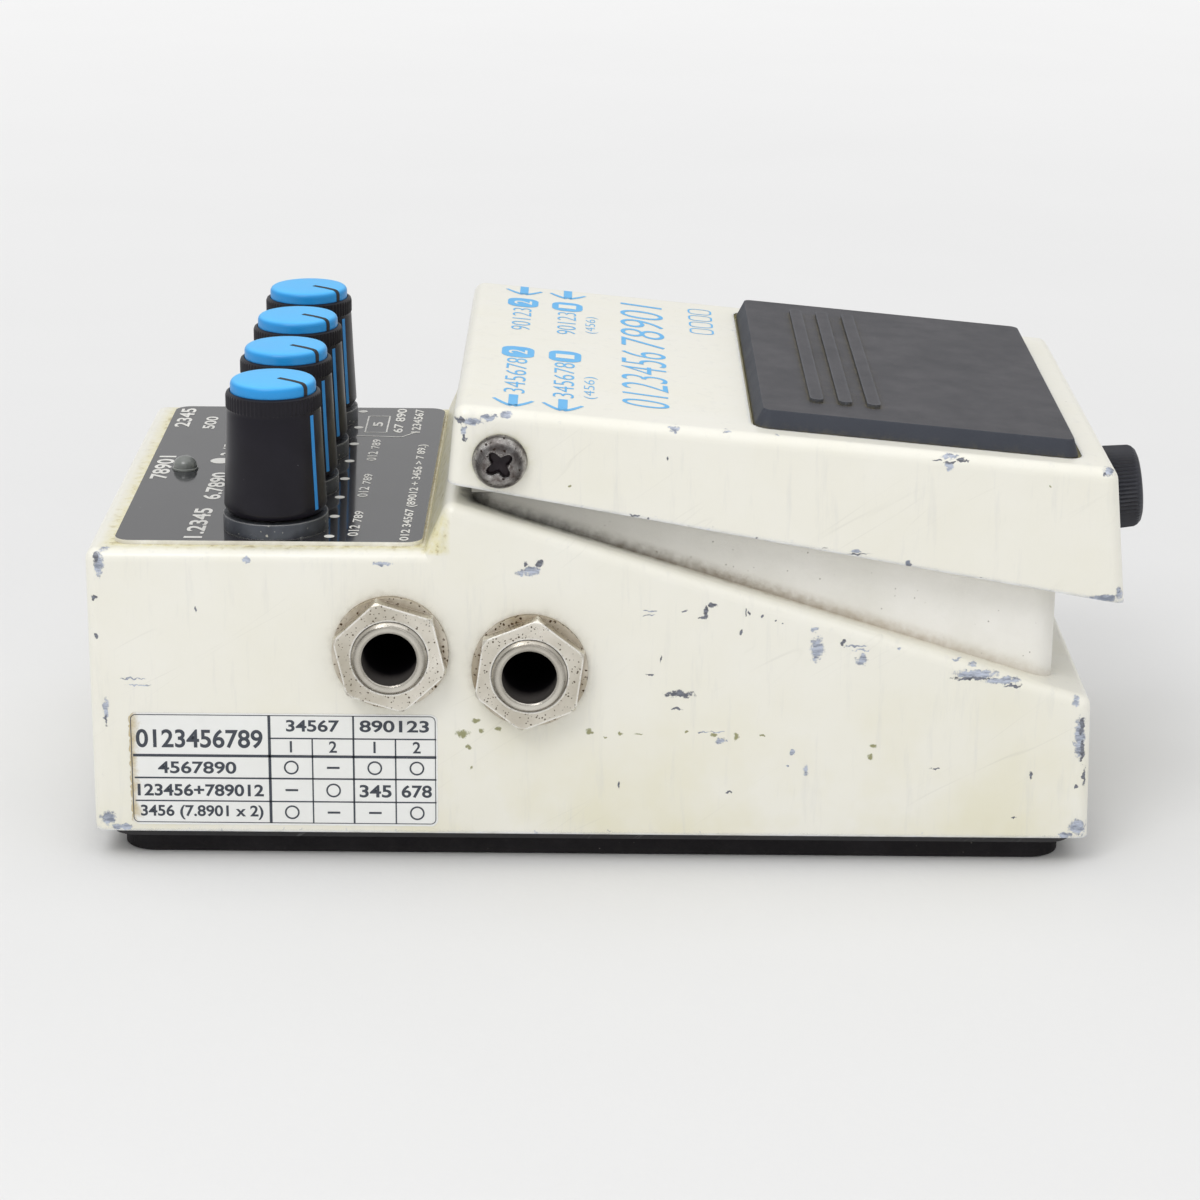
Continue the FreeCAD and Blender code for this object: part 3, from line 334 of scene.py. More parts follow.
# y, z and half sizes of each spot on the photographed side
housingPaint = {
    "silver": [
        (12.2, 36.5, 0.9, 0.6), (13.4, 36.3, 0.5, 0.45), (-21.3, 27.3, 0.75, 1.4),
        (-21.0, 29.6, 0.5, 0.25), (-26.6, 25.9, 0.65, 0.65), (-26.0, 27.6, 1.2, 0.12),
        (-26.6, 27.1, 0.9, 0.1), (-10.3, 15.6, 0.65, 0.35), (-9.9, 16.7, 0.9, 0.1),
        (-8.2, 16.7, 0.7, 0.08), (-18.8, 14.3, 0.3, 0.42), (-18.3, 12.4, 0.22, 0.2),
        (-20.4, 12.0, 0.28, 0.6), (-40.0, 24.2, 2.6, 0.42), (-43.4, 23.4, 2.2, 0.36),
        (-39.7, 25.3, 0.7, 0.22), (-38.0, 25.8, 0.7, 0.14), (-52.1, 20.8, 0.5, 0.55),
        (-52.7, 16.4, 0.6, 2.5), (-53.0, 5.0, 1.0, 0.9), (-51.6, 4.0, 0.9, 0.35), (62.6, 36.9, 0.5, 1.5),
        (62.0, 38.8, 0.9, 0.35), (45.4, 37.6, 0.45, 0.3), (29.6, 37.2, 0.9, 0.25), (62.4, 18.9, 0.3, 1.4),
        (59.2, 22.8, 1.6, 0.1), (58.4, 22.0, 1.4, 0.08), (62.6, 5.2, 0.9, 0.8), (61.0, 4.1, 1.3, 0.4),
        (-1.6, 31.7, 0.9, 0.07), (-1.5, 31.2, 0.8, 0.06), (-31.0, 27.3, 0.3, 0.2)],
    "marks": [
        (11.3, 37.4, 0.5, 0.5), (12.9, 37.3, 0.3, 0.3), (-8.9, 32.5, 0.55, 0.3), (-8.2, 31.6, 0.3, 0.9),
        (-7.7, 30.9, 0.5, 0.15), (-5.8, 31.8, 0.3, 0.14), (-12.9, 31.7, 0.1, 0.4),
        (-13.3, 31.6, 0.1, 0.35), (-14.9, 31.2, 0.25, 0.15), (-16.4, 30.6, 0.16, 0.14),
        (-17.1, 30.4, 0.12, 0.1), (-24.4, 27.9, 0.25, 0.4), (-5.2, 21.45, 1.8, 0.4),
        (-5.0, 19.6, 0.65, 0.17), (-1.8, 23.8, 0.5, 0.12), (-3.1, 25.8, 0.12, 0.5),
        (-12.3, 29.2, 0.14, 0.4), (-39.6, 23.7, 2.3, 0.17), (-44.4, 22.8, 1.0, 0.15),
        (-52.9, 17.8, 0.2, 1.2), (-53.1, 14.6, 0.24, 1.5), (-53.5, 11.4, 0.25, 1.2),
        (-54.3, 17.0, 0.12, 2.4), (-52.6, 10.2, 0.2, 0.3), (62.9, 37.6, 0.3, 0.6),
        (63.3, 32.8, 0.35, 0.3), (63.2, 28.0, 0.25, 0.35), (62.4, 17.6, 0.16, 0.7),
        (51.4, 31.5, 0.1, 0.35), (1.8, 9.9, 0.14, 0.5), (-11.3, 9.1, 0.5, 0.12), (-47.2, 11.6, 0.2, 0.5),
        (-35.9, 12.3, 0.6, 0.1), (-45.4, 6.2, 0.3, 0.1)],
    "spatters": [
        (18.8, 17.9, 0.35, 0.25), (20.3, 16.3, 0.7, 0.45), (18.1, 16.7, 0.3, 0.25),
        (16.1, 16.9, 0.35, 0.3), (5.3, 16.6, 0.4, 0.3), (1.7, 16.4, 0.3, 0.25), (-0.6, 16.4, 0.5, 0.1),
        (-6.1, 16.7, 0.22, 0.22), (-9.4, 16.3, 0.4, 0.2), (-12.0, 16.2, 0.25, 0.4),
        (-15.1, 16.3, 0.3, 0.14), (-28.0, 13.7, 0.3, 0.35), (-28.3, 15.1, 0.4, 0.25),
        (19.6, 14.6, 0.3, 0.2), (19.3, 12.0, 0.2, 0.2), (3.4, 16.0, 0.15, 0.12)]}
treadlePaint = {
    "silver": [
        (19.2, 54.4, 1.2, 0.4), (17.2, 54.9, 0.9, 0.35), (15.2, 55.2, 0.7, 0.3), (20.0, 53.3, 0.4, 0.5),
        (-4.1, 53.6, 0.6, 0.28), (-10.2, 53.3, 0.45, 0.2), (-16.0, 53.0, 0.45, 0.18),
        (-36.0, 50.6, 1.0, 0.3), (-35.9, 49.6, 0.5, 0.5), (-54.6, 49.0, 0.8, 0.55),
        (-54.6, 33.8, 1.8, 0.4), (-56.4, 34.3, 0.4, 0.7), (-25.5, 39.2, 0.7, 0.18),
        (-31.6, 37.9, 0.4, 0.28)],
    "marks": [
        (20.4, 54.5, 0.5, 0.4), (19.9, 52.4, 0.2, 0.4), (-34.6, 50.3, 0.6, 0.1), (-37.4, 50.2, 0.6, 0.1),
        (-36.0, 50.0, 0.9, 0.1), (-54.9, 49.2, 0.25, 0.3), (-53.9, 48.8, 0.2, 0.2), (0.3, 43.4, 0.6, 0.1),
        (-1.2, 43.1, 0.2, 0.1), (-13.9, 40.8, 0.16, 0.1), (-25.8, 38.9, 1.4, 0.09),
        (-31.7, 37.6, 0.5, 0.1), (-21.9, 39.5, 0.4, 0.07), (-40.0, 36.2, 0.2, 0.07),
        (15.5, 51.2, 0.1, 0.35), (-3.5, 50.3, 0.1, 0.3)],
    "spatters": [
        (7.8, 46.9, 0.14, 0.14), (-47.6, 47.2, 0.12, 0.12)]}


def nearestOf(tree, point, spots):  # distance to the nearest of the listed spots, 1 at its edge
    nearest = None
    for y, z, halfY, halfZ in spots:
        distance = useGroup(tree, paintChip, Point=point, Centre=(sideFace + 0.2, y, z),
                            Spread=(1.5, halfY, halfZ))
        nearest = distance if nearest is None else maths(tree, "MINIMUM", nearest, distance)
    return nearest


def within(tree, value, ends):  # 1 between the two inner ends, 0 past the outer ones
    start, full, fading, end = ends
    return times(tree, between(tree, value, start, full), between(tree, value, end, fading))


def yellowed(tree, where):
    fromMiddle = maths(tree, "ABSOLUTE", minus(tree, where["Y"], deckStain["middleY"]))
    aside = minus(tree, maths(tree, "ABSOLUTE", where["X"]), deckStain["halfX"])
    aside = larger(tree, aside, minus(tree, fromMiddle, deckStain["halfY"]))
    near, far = deckStain["reach"]
    deck = times(tree, within(tree, where["Z"], deckStain["deckHeight"]), between(tree, aside, far, near))
    start, full, fading, end = deckStain["stepDepth"]
    step = within(tree, where["Z"], deckStain["stepHeight"])
    step = times(tree, step, between(tree, where["Y"], end, fading))
    return larger(tree, deck, times(tree, step, between(tree, where["Y"], start, full)))


def paintedMetal(name, spots, edges, stains):
    material, tree, shader = newMaterial(name)
    tone = {key: shade(*colour) for key, colour in creamPaint.items()}
    point = pointInMm(tree)
    where = partsOf(tree, point)
    grain = useGroup(tree, fineGrain, Scale=1.6).node.outputs
    colour = mixed(tree, times(tree, grain["Tone"], 0.5), tone["cream"], tone["aged"])
    if stains:  # yellowed low down and beside the panel
        low = between(tree, where["Z"], 27.0, 5.0, 0.0, 0.6)
        blotch = times(tree, low, between(tree, cloud(tree, point, 0.07, 4.0), 0.42, 0.66))
        colour = mixed(tree, blotch, colour, tone["patch"])
        faded = yellowed(tree, where)
        mottle = cloud(tree, point, 0.9, 5.0, 0.7)
        pale = times(tree, faded, between(tree, mottle, 0.36, 0.56, 0.35, 0.9))
        colour = mixed(tree, pale, colour, tone["margin"])
        brown = times(tree, faded, between(tree, mottle, 0.56, 0.66, 0.0, 0.75))
        colour = mixed(tree, brown, colour, tone["brown"])
    streak = stretched(tree, point, (1.0, 1.0, 0.12))
    rubbed = between(tree, cloud(tree, streak, 0.7, 4.0, 0.65), 0.56, 0.76, 0.0, 0.3)
    colour = mixed(tree, rubbed, colour, tone["smear"])
    # grime in crevices, brown on the casting and yellowish round the pad, with some painted shade
    grimeAndShade = useGroup(tree, creviceDirtAndShade, Reach=1.6)
    if stains:  # painted shade with dirt, black at the foot of the inner wall near the hinge, paler brown dirt towards the toe
        above = minus(tree, where["Z"], times(tree, where["Y"], 0.22))
        sootAndShade = times(tree, between(tree, where["Y"], -52.0, 8.0), between(tree, above, 33.8, 35.2))
        foot = times(tree, useGroup(tree, creviceDirtAndShade, Reach=1.7, Start=0.12, Full=0.5), sootAndShade)
        colour = mixed(tree, times(tree, grimeAndShade, 0.55), colour, tone["grimeAndShade"])
        dirt = mixed(tree, between(tree, where["Y"], -30.0, 8.0), tone["toeDirt"], tone["seamDirtAndShade"])
        colour = mixed(tree, foot, colour, dirt)
    else:
        colour = mixed(tree, times(tree, grimeAndShade, 0.8), colour, tone["padMargin"])
    dots = useGroup(tree, specks, Spacing=2.3, Share=0.08, Size=0.1)
    colour = mixed(tree, times(tree, dots, 0.6), colour, tone["speck"])
    hairs = useGroup(tree, fineScratches, Scale=0.09, Share=0.5)
    colour = mixed(tree, times(tree, hairs, 0.17), colour, tone["hair"])
    # spatters, silver chips and dark marks share one ragged outline
    ragged = shaken(tree, point, 1.3, 0.4)
    torn = times(tree, minus(tree, cloud(tree, point, 2.3, 5.0, 0.7), 0.5), 2.0)
    spatter, silver, mark = [plus(tree, nearestOf(tree, ragged, spots[kind]), torn)
                             for kind in ("spatters", "silver", "marks")]
    colour = mixed(tree, between(tree, spatter, 0.8, 1.3, 0.85, 0.0), colour, tone["spatter"])
    chips = between(tree, silver, 0.8, 1.15, 1.0, 0.0)
    lines = stretched(tree, point, (1.0, 0.35, 1.6))
    drawn = between(tree, cloud(tree, lines, 1.6, 4.0, 0.7), 0.42, 0.62)
    bare = mixed(tree, drawn, tone["silver"], tone["silverDark"])
    worn = larger(tree, chips, useGroup(tree, edgeWearAndHighlight, Reach=0.8, Amount=edges))
    colour = mixed(tree, worn, colour, bare)
    mark = between(tree, mark, 0.8, 1.1, 1.0, 0.0)
    drawn = between(tree, cloud(tree, lines, 2.3, 3.0, 0.7), 0.4, 0.6)
    dark = mixed(tree, drawn, tone["mark"], tone["markDark"])
    colour = mixed(tree, mark, colour, dark)
    bareMetal = larger(tree, chips, mark)
    sheen = paintSheen
    smooth, rougher = sheen["roughness"], sheen["roughness"] + sheen["rougher"]
    rough = between(tree, grain["Tone"], 0.0, 1.0, smooth, rougher)
    height = minus(tree, times(tree, grain["Height"], 0.3), bareMetal)
    relief = put(tree, "Bump", {"Strength": 0.8, "Distance": sheen["chipDepth"] * mm, "Height": height})
    feed(tree, shader,
         {"Base Color": colour, "Roughness": larger(tree, rough, times(tree, bareMetal, 0.5)),
          "Coat Weight": sheen["coat"], "Coat Roughness": sheen["coatRoughness"], "Normal": relief})
    return material


# ---- one finish for each material slot of the record
finishes = {
    "ivory_paint": paintedMetal("creamCasting", housingPaint, 0.1, True),
    # the near-black in its corners, round the knobs, is painted shade with grime
    "panel_paint": finish(
        "panelGloss", colour=(46, 46, 50), second=(40, 40, 44), roughness=0.07, rougher=0.06, coat=0.42,
        coatRoughness=0.04, grain=3.0, bump=0.0015, dirt=(0.4, 0.9, (24, 22, 22)),
        specks=(0.35, 1.5, 0.06, (150, 149, 144)), scratches=(0.35, (84, 84, 84))),
    # the darker tone of its sides is painted shade
    "pad_rubber": finish(
        "padRubber", colour=(76, 75, 79), second=(68, 68, 72), side=(52, 56, 66), roughness=0.6,
        grain=4.0, bump=0.05, dirt=(0.8, 1.3, (132, 122, 88)), wear=(0.12, 0.5, (98, 100, 106)),
        specks=(0.3, 1.7, 0.07, (150, 148, 140))),
    "base_rubber": finish(
        "baseRubber", colour=(36, 34, 37), second=(26, 24, 27), roughness=0.75, specular=0.25, grain=2.5,
        bump=0.12, dirt=(0.3, 2.0, (70, 66, 60)), specks=(0.3, 1.4, 0.08, (96, 92, 88))),
    "knob_plastic": finish(
        "knobBlack", colour=(27, 25, 33), second=(22, 20, 27), roughness=0.27, specular=0.22, grain=4.0,
        bump=0.006, dirt=(0.3, 0.7, (60, 56, 56)), specks=(0.15, 1.1, 0.05, (84, 82, 88)),
        scratches=(0.35, (40, 38, 48))),
    # the deeper blue of its sides and the dark blue in its corners are painted shade
    "cap_plastic": finish(
        "capBlue", colour=(78, 186, 252), second=(88, 192, 252), side=(38, 150, 222), roughness=0.32,
        specular=0.4, grain=3.0, bump=0.008, dirt=(0.9, 1.3, (14, 84, 150)),
        specks=(0.08, 1.2, 0.05, (60, 110, 150)), scratches=(0.3, (120, 202, 248))),
    # the near-white along its edges is painted highlight as well as wear
    "nickel": finish(
        "agedNickel", colour=(234, 229, 218), second=(194, 187, 172), roughness=0.22, rougher=0.22,
        metallic=1.0, grain=2.2, bump=0.014, round=0.16, dirt=(0.85, 0.9, (60, 46, 30)),
        wear=(0.55, 0.26, (252, 250, 244)), specks=(0.85, 0.34, 0.1, (92, 78, 58)),
        scratches=(0.4, (236, 232, 222))),
    "zinc_steel": finish(
        "zincSteel", colour=(176, 178, 180), second=(150, 152, 156), roughness=0.34, rougher=0.2,
        metallic=1.0, grain=1.4, bump=0.01, round=0.12, specks=(0.12, 1.1, 0.12, (60, 45, 30)),
        scratches=(0.4, (190, 190, 190))),
    "spring_steel": finish(
        "springSteel", colour=(128, 128, 132), second=(104, 104, 108), roughness=0.3, metallic=1.0,
        grain=6.0, bump=0.004, dirt=(0.4, 2.0, (70, 58, 42))),
    "thumb_plastic": finish(
        "thumbBlack", colour=(38, 40, 50), second=(30, 31, 39), roughness=0.42, grain=5.0, bump=0.02,
        dirt=(0.5, 0.7, (88, 84, 78)), specks=(0.15, 0.9, 0.08, (120, 118, 112))),
    "nylon": finish(
        "naturalNylon", colour=(226, 223, 210), second=(212, 207, 190), roughness=0.42, grain=3.0,
        bump=0.01, round=0.1),
    "black_nylon": finish(
        "blackNylon", colour=(38, 38, 40), second=(30, 30, 32), roughness=0.45, grain=3.0, bump=0.015,
        round=0.1, dirt=(0.3, 2.0, (90, 86, 80))),
    "jack_plastic": finish(
        "jackBody", colour=(36, 35, 37), second=(28, 27, 29), roughness=0.5, grain=3.0, bump=0.015,
        round=0.1, dirt=(0.3, 2.0, (80, 74, 66))),
    "socket_plastic": finish(
        "socketBlack", colour=(34, 34, 36), second=(27, 27, 29), roughness=0.4, grain=3.5, bump=0.012,
        round=0.15, dirt=(0.3, 2.0, (90, 86, 80)), specks=(0.08, 1.2, 0.08, (110, 108, 104))),
    "board": None,
    "sheet_card": finish(
        "insulatingCard", colour=(58, 58, 54), second=(50, 50, 47), roughness=0.7, grain=2.0, bump=0.03,
        dirt=(0.3, 2.0, (92, 88, 78))),
    "chip_plastic": finish(
        "chipBlack", colour=(34, 34, 35), second=(42, 42, 43), roughness=0.55, grain=6.0, bump=0.01,
        round=0.08, dirt=(0.3, 2.0, (70, 68, 64))),
    "can": finish(
        "capacitorSleeve", colour=(38, 52, 92), second=(32, 44, 80), roughness=0.28, coat=0.3, grain=2.0,
        bump=0.006, round=0.3),
    "pot_metal": finish(
        "stampedMetal", colour=(172, 172, 168), second=(150, 150, 146), roughness=0.36, metallic=1.0,
        grain=1.6, bump=0.01, round=0.15, scratches=(0.4, (190, 190, 190))),
    "shaft_metal": finish(
        "turnedAluminium", colour=(196, 196, 194), second=(176, 176, 174), roughness=0.3, metallic=1.0,
        grain=8.0, bump=0.006, round=0.1),
    "tin": finish(
        "tinnedBrass", colour=(200, 196, 184), second=(184, 178, 160), roughness=0.3, metallic=1.0,
        grain=4.0, bump=0.006, round=0.05),
    # the dark at the foot of the dome is painted shade
    "lamp_plastic": finish(
        "lampClear", colour=(158, 162, 158), second=(140, 144, 140), roughness=0.18, see=0.4, coat=0.4,
        grain=4.0, bump=0.004, dirt=(0.6, 0.8, (40, 42, 42))),
    "battery_case": finish(
        "batteryCase", colour=(44, 44, 48), second=(38, 38, 42), roughness=0.3, coat=0.2, grain=1.2,
        bump=0.008, round=0.4, scratches=(0.4, (120, 120, 122))),
    "foam": finish(
        "darkFoam", colour=(52, 52, 54), second=(38, 38, 40), roughness=0.95, grain=2.4, bump=0.5,
        dirt=(0.2, 2.0, (70, 58, 42))),
}


def boardFinish():  # green board with lighter copper tracks and tinned pads under its lacquer
    material, tree, shader = newMaterial("greenBoard")
    point = pointInMm(tree)
    grain = useGroup(tree, fineGrain, Scale=2.0).node.outputs
    tracks = put(tree, "TexBrick", {"Vector": point, "Scale": 0.42, "Mortar Size": 0.045}, "Fac")
    pads = useGroup(tree, specks, Spacing=2.54, Share=0.35, Size=0.2)
    colour = mixed(tree, grain["Tone"], shade(38, 92, 48), shade(30, 80, 42))
    colour = mixed(tree, tracks, colour, shade(66, 124, 66))
    colour = mixed(tree, pads, colour, shade(196, 192, 180))
    relief = put(tree, "Bump", {"Distance": 0.04 * mm, "Height": tracks})
    feed(tree, shader, {"Base Color": colour, "Roughness": between(tree, pads, 0.0, 1.0, 0.32, 0.22),
                        "Metallic": pads, "Normal": relief})
    return material


finishes["board"] = boardFinish()
creamTreadle = paintedMetal("creamTreadle", treadlePaint, 0.06, False)
rustyWasher = finish(
    "rustyWasher", colour=(222, 216, 204), second=(176, 163, 140), roughness=0.3, rougher=0.3,
    metallic=0.9, grain=3.2, bump=0.03, round=0.1, dirt=(0.7, 0.8, (96, 66, 36)),
    specks=(0.85, 0.5, 0.17, (84, 64, 42)))
# painted reflection rings on the rounded lip, with grime in its corners
collarNickel = finish(
    "collarNickel", colour=(232, 228, 218), second=(196, 190, 178), roughness=0.12, rougher=0.16,
    metallic=1.0, grain=2.6, bump=0.006, round=0.6, bands=0.8, dirt=(0.9, 0.5, (52, 42, 28)),
    specks=(0.3, 0.7, 0.1, (84, 72, 56)), scratches=(0.5, (240, 238, 232)))
# the dark brown-grey of the collar's upright sides is painted shade where collar meets nut
collarSide = finish(
    "collarSide", colour=(96, 88, 76), second=(70, 62, 50), roughness=0.4, metallic=0.6, grain=3.0,
    bump=0.01, dirt=(0.8, 0.6, (40, 32, 22)))
# painted reflection rings and painted highlights on the head's edges, and painted shade with grime in its recess
darkScrew = finish(
    "darkScrew", colour=(198, 196, 194), second=(84, 73, 68), roughness=0.1, rougher=0.3, metallic=1.0,
    grain=16.0, bump=0.07, round=0.3, bands=0.7, dirt=(1.0, 1.3, (26, 20, 22)),
    wear=(0.1, 0.3, (210, 208, 206)), specks=(0.8, 0.55, 0.16, (46, 32, 24)))
# near-black in the cross recess: painted shade with grime
recessDark = finish(
    "recessDark", colour=(24, 17, 24), second=(40, 30, 34), roughness=0.45, metallic=0.3, grain=9.0,
    bump=0.03, dirt=(0.5, 0.8, (60, 40, 34)))
# the near-black at its foot on the panel is painted shade; the pale edges are painted highlights
dressNut = finish(
    "dressNut", colour=(84, 88, 96), second=(70, 73, 80), roughness=0.25, metallic=0.5, grain=9.0,
    bump=0.03, round=0.25, dirt=(1.0, 1.3, (22, 22, 26)), wear=(0.15, 0.3, (190, 190, 188)),
    specks=(0.5, 0.8, 0.14, (190, 188, 180)))
# the zinc-plated bottom cover in dark grey: painted shade under the housing
darkPlate = finish(
    "darkPlate", colour=(44, 43, 46), second=(36, 35, 38), roughness=0.5, grain=2.0, bump=0.02,
    dirt=(0.4, 2.0, (70, 66, 60)), scratches=(0.5, (120, 120, 122)))
panelEdge = finish(
    "panelEdge", colour=(252, 251, 246), second=(222, 218, 206), roughness=0.35, metallic=0.0, grain=5.0,
    bump=0.02, dirt=(0.25, 0.5, (120, 108, 84)), specks=(0.5, 1.1, 0.2, (60, 56, 52)))
recessShadeBlack = finish(
    "recessShadeBlack", colour=(24, 22, 24), second=(18, 16, 18), roughness=0.5, grain=2.0, bump=0.02,
    dirt=(0.2, 2.0, (40, 36, 32)))


boreLook = {"dark": (20, 15, 21), "plated": (150, 144, 140), "deep": 31.8, "mouth": 36.2}


def boreFinish():  # plated at the mouth, black a few millimetres in
    material, tree, shader = newMaterial("boreDepth")
    point = pointInMm(tree)
    reach = maths(tree, "ABSOLUTE", partsOf(tree, point)["X"])
    wander = times(tree, cloud(tree, point, 1.5, 3.0), 0.8)
    depth = between(tree, minus(tree, reach, wander), boreLook["deep"], boreLook["mouth"])
    colour = mixed(tree, depth, shade(*boreLook["dark"]), shade(*boreLook["plated"]))
    relief = put(tree, "Bump", {"Distance": 0.02 * mm, "Height": wander})
    feed(tree, shader, {"Base Color": colour, "Roughness": between(tree, depth, 0.0, 1.0, 0.6, 0.3),
                        "Metallic": times(tree, depth, 0.9), "Specular IOR Level": 0.3, "Normal": relief})
    return material


# the grey towards the hinge is painted shade under the treadle; the near-black at the foot there is painted shade
# with dirt
wallLook = {"pale": (246, 244, 238), "second": (236, 234, 226), "hingeShade": (176, 174, 167),
            "speck": (122, 116, 100), "toeDirt": (158, 134, 96), "sootAndShade": (30, 25, 20)}


def wallFinish():  # bare casting beside the treadle: painted shade makes it grey near the hinge and black at its foot there, with dirt; paler towards the toe
    material, tree, shader = newMaterial("castInnerWall")
    tone = {key: shade(*colour) for key, colour in wallLook.items()}
    point = pointInMm(tree)
    where = partsOf(tree, point)
    grain = useGroup(tree, fineGrain, Scale=2.4).node.outputs
    hingeShade = between(tree, where["Y"], -46.0, 17.0)
    colour = mixed(tree, grain["Tone"], tone["pale"], tone["second"])
    colour = mixed(tree, maths(tree, "POWER", hingeShade, 2.4), colour, tone["hingeShade"])
    dots = useGroup(tree, specks, Spacing=0.8, Share=0.5, Size=0.09)
    colour = mixed(tree, times(tree, dots, 0.7), colour, tone["speck"])
    foot = useGroup(tree, creviceDirtAndShade, Reach=1.8, Start=0.14, Full=0.5)
    foot = times(tree, foot, between(tree, hingeShade, 0.0, 0.6, 0.45, 0.95))
    dirt = mixed(tree, between(tree, where["Y"], -30.0, 10.0), tone["toeDirt"], tone["sootAndShade"])
    relief = put(tree, "Bump", {"Distance": 0.06 * mm, "Height": grain["Height"]})
    feed(tree, shader, {"Base Color": mixed(tree, foot, colour, dirt), "Normal": relief,
                        "Roughness": between(tree, grain["Tone"], 0.0, 1.0, 0.5, 0.62)})
    return material


boreDepth = boreFinish()
castWall = wallFinish()
print("finishes made")


def paintNode(node, material):
    nodes[node].data.materials[0] = material


def paintFaces(node, material, chosen):  # another slot for the faces that a test picks
    mesh = nodes[node].data
    mesh.materials.append(material)
    for face in mesh.polygons:
        if chosen(face.center / mm, face.normal):
            face.material_index = len(mesh.materials) - 1


wallZone = {"halfX": 30.2, "toeY": -51.0, "rearY": 24.0, "lowZ": 20.0}


def onInnerWall(at, out):  # upright faces of the raised block, between the housing's sides
    upright = abs(out.z) < 0.5 and (abs(out.x) > 0.3 or out.y < -0.3)
    inside = abs(at.x) < wallZone["halfX"] and wallZone["toeY"] < at.y < wallZone["rearY"]
    return upright and inside and at.z > wallZone["lowZ"]


for entry in frame["record"]["subparts"]:
    paintNode(entry["node"], finishes[entry["material_slot"]])
paintNode("treadle", creamTreadle)
# bottom cover darkened: painted shade
paintNode("bottom_cover", darkPlate)
paintNode("jack_washers", rustyWasher)
paintNode("hinge_screws", darkScrew)
paintNode("pot_nuts", dressNut)
paintFaces("housing", castWall, onInnerWall)
paintFaces("control_panel", panelEdge, lambda at, out: abs(out.z) < 0.5)

# where a jack's collar starts and its bore ends, and the radii that part bore, face and side
jackZones = {"collarFrom": 31.3, "boreTo": 36.0, "bore": 3.35, "face": 3.3, "side": 4.2}


def paintJack(name):
    middle = Vector(mountOf[name + "_socket"]["pos_m"]) / mm

    def offAxis(at):
        return math.hypot(at.y - middle.y, at.z - middle.z)

    def onCollar(at, out):
        return abs(at.x) > jackZones["collarFrom"] and offAxis(at) > jackZones["face"]

    def onSide(at, out):
        return onCollar(at, out) and offAxis(at) > jackZones["side"] and abs(out.x) < 0.4

    def inBore(at, out):
        return abs(at.x) < jackZones["boreTo"] and offAxis(at) < jackZones["bore"]

    for material, chosen in ((collarNickel, onCollar), (collarSide, onSide), (boreDepth, inBore)):
        paintFaces(name + "_jack", material, chosen)


for name in ("output_a", "output_b", "input_a", "input_b"):
    paintJack(name)
print("packed nodes painted")


# ---- helpers that make meshes
def boxInMm(node):
    return [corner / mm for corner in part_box(node)]


def tubeFaces(rows, steps):  # quads between rings of points, and a face over each end
    faces = []
    for row in range(rows - 1):
        for step in range(steps):
            after = (step + 1) % steps
            faces.append((row * steps + step, row * steps + after, (row + 1) * steps + after,
                          (row + 1) * steps + step))
    return faces + [tuple(reversed(range(steps))), tuple(range((rows - 1) * steps, rows * steps))]


def makePiece(name, points, faces, material, body, smooth=True):
    mesh = bpy.data.meshes.new(name)
    mesh.from_pydata([Vector(p) * mm for p in points], [], faces)
    mesh.update()
    mesh.polygons.foreach_set("use_smooth", [smooth] * len(mesh.polygons))
    if smooth:
        mesh.set_sharp_from_angle(angle=math.radians(38))
    mesh.materials.append(material)
    piece = bpy.data.objects.new(name, mesh)
    bpy.context.scene.collection.objects.link(piece)
    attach(piece, body)
    return piece


# Turns a profile of (radius, height) about Z; rows named in ridged get fine ridges cut into them
def turned(profile, steps=96, ridges=0, depth=0.0, ridged=()):
    points = []
    for row, (radius, height) in enumerate(profile):
        for step in range(steps):
            angle = 2 * math.pi * step / steps
            cut = depth * (0.5 - 0.5 * math.cos(ridges * angle)) if row in ridged else 0.0
            points.append(((radius - cut) * math.cos(angle), (radius - cut) * math.sin(angle), height))
    return points, tubeFaces(len(profile), steps)


# A narrow ribbon that lies on a turned profile at one angle, a little proud of it
def ribbonOn(profile, angle, width, lift):
    points, faces = [], []
    across = 4
    for radius, height, outward, upward in profile:
        for i in range(across + 1):
            aside = (i / across - 0.5) * width
            reach = math.sqrt(max((radius + lift * outward) ** 2 - aside ** 2, 0.0)) if outward else radius
            x, y = reach, aside
            points.append((x * math.cos(angle) - y * math.sin(angle),
                           x * math.sin(angle) + y * math.cos(angle), height + lift * upward))
    for row in range(len(profile) - 1):
        for i in range(across):
            first = row * (across + 1) + i
            faces.append((first, first + 1, first + across + 2, first + across + 1))
    return points, faces


def placed(shape, matrix):
    return [matrix @ Vector(p) for p in shape[0]], shape[1]


# ---- knobs: smooth tapered barrel, finely ridged band, blue cap with its black pointer
knobLook = {"slimmer": 0.34, "taper": 0.46, "taller": 0.7, "capProud": 1.5, "bandHeight": 2.0,
            "ridges": 66, "ridgeDepth": 0.15, "ridged": (11, 12), "steps": 264, "capRadius": 5.02,
            "lineWidth": 0.6, "pointerWidth": 0.62, "pointerAngle": 36.0, "lineAngle": 32.0, "lift": 0.03}


def knobProfile(bottom, top, band, height):
    return [(3.6, 0.9), (bottom - 0.75, 0.7), (bottom - 0.7, 0.0), (bottom - 0.5, 0.03),
            (bottom - 0.1, 0.55), (bottom, 0.8), (bottom - 0.03, 1.4), (top + 0.16, band * 0.55),
            (top - 0.06, band - 0.35), (top - 0.14, band - 0.12), (top - 0.1, band), (top, band + 0.1),
            (top, height - 0.5), (top - 0.1, height - 0.2), (top - 0.4, height),
            (knobLook["capRadius"] + 0.1, height), (knobLook["capRadius"] + 0.06, height - 0.1),
            (knobLook["capRadius"] + 0.06, height - 0.8)]


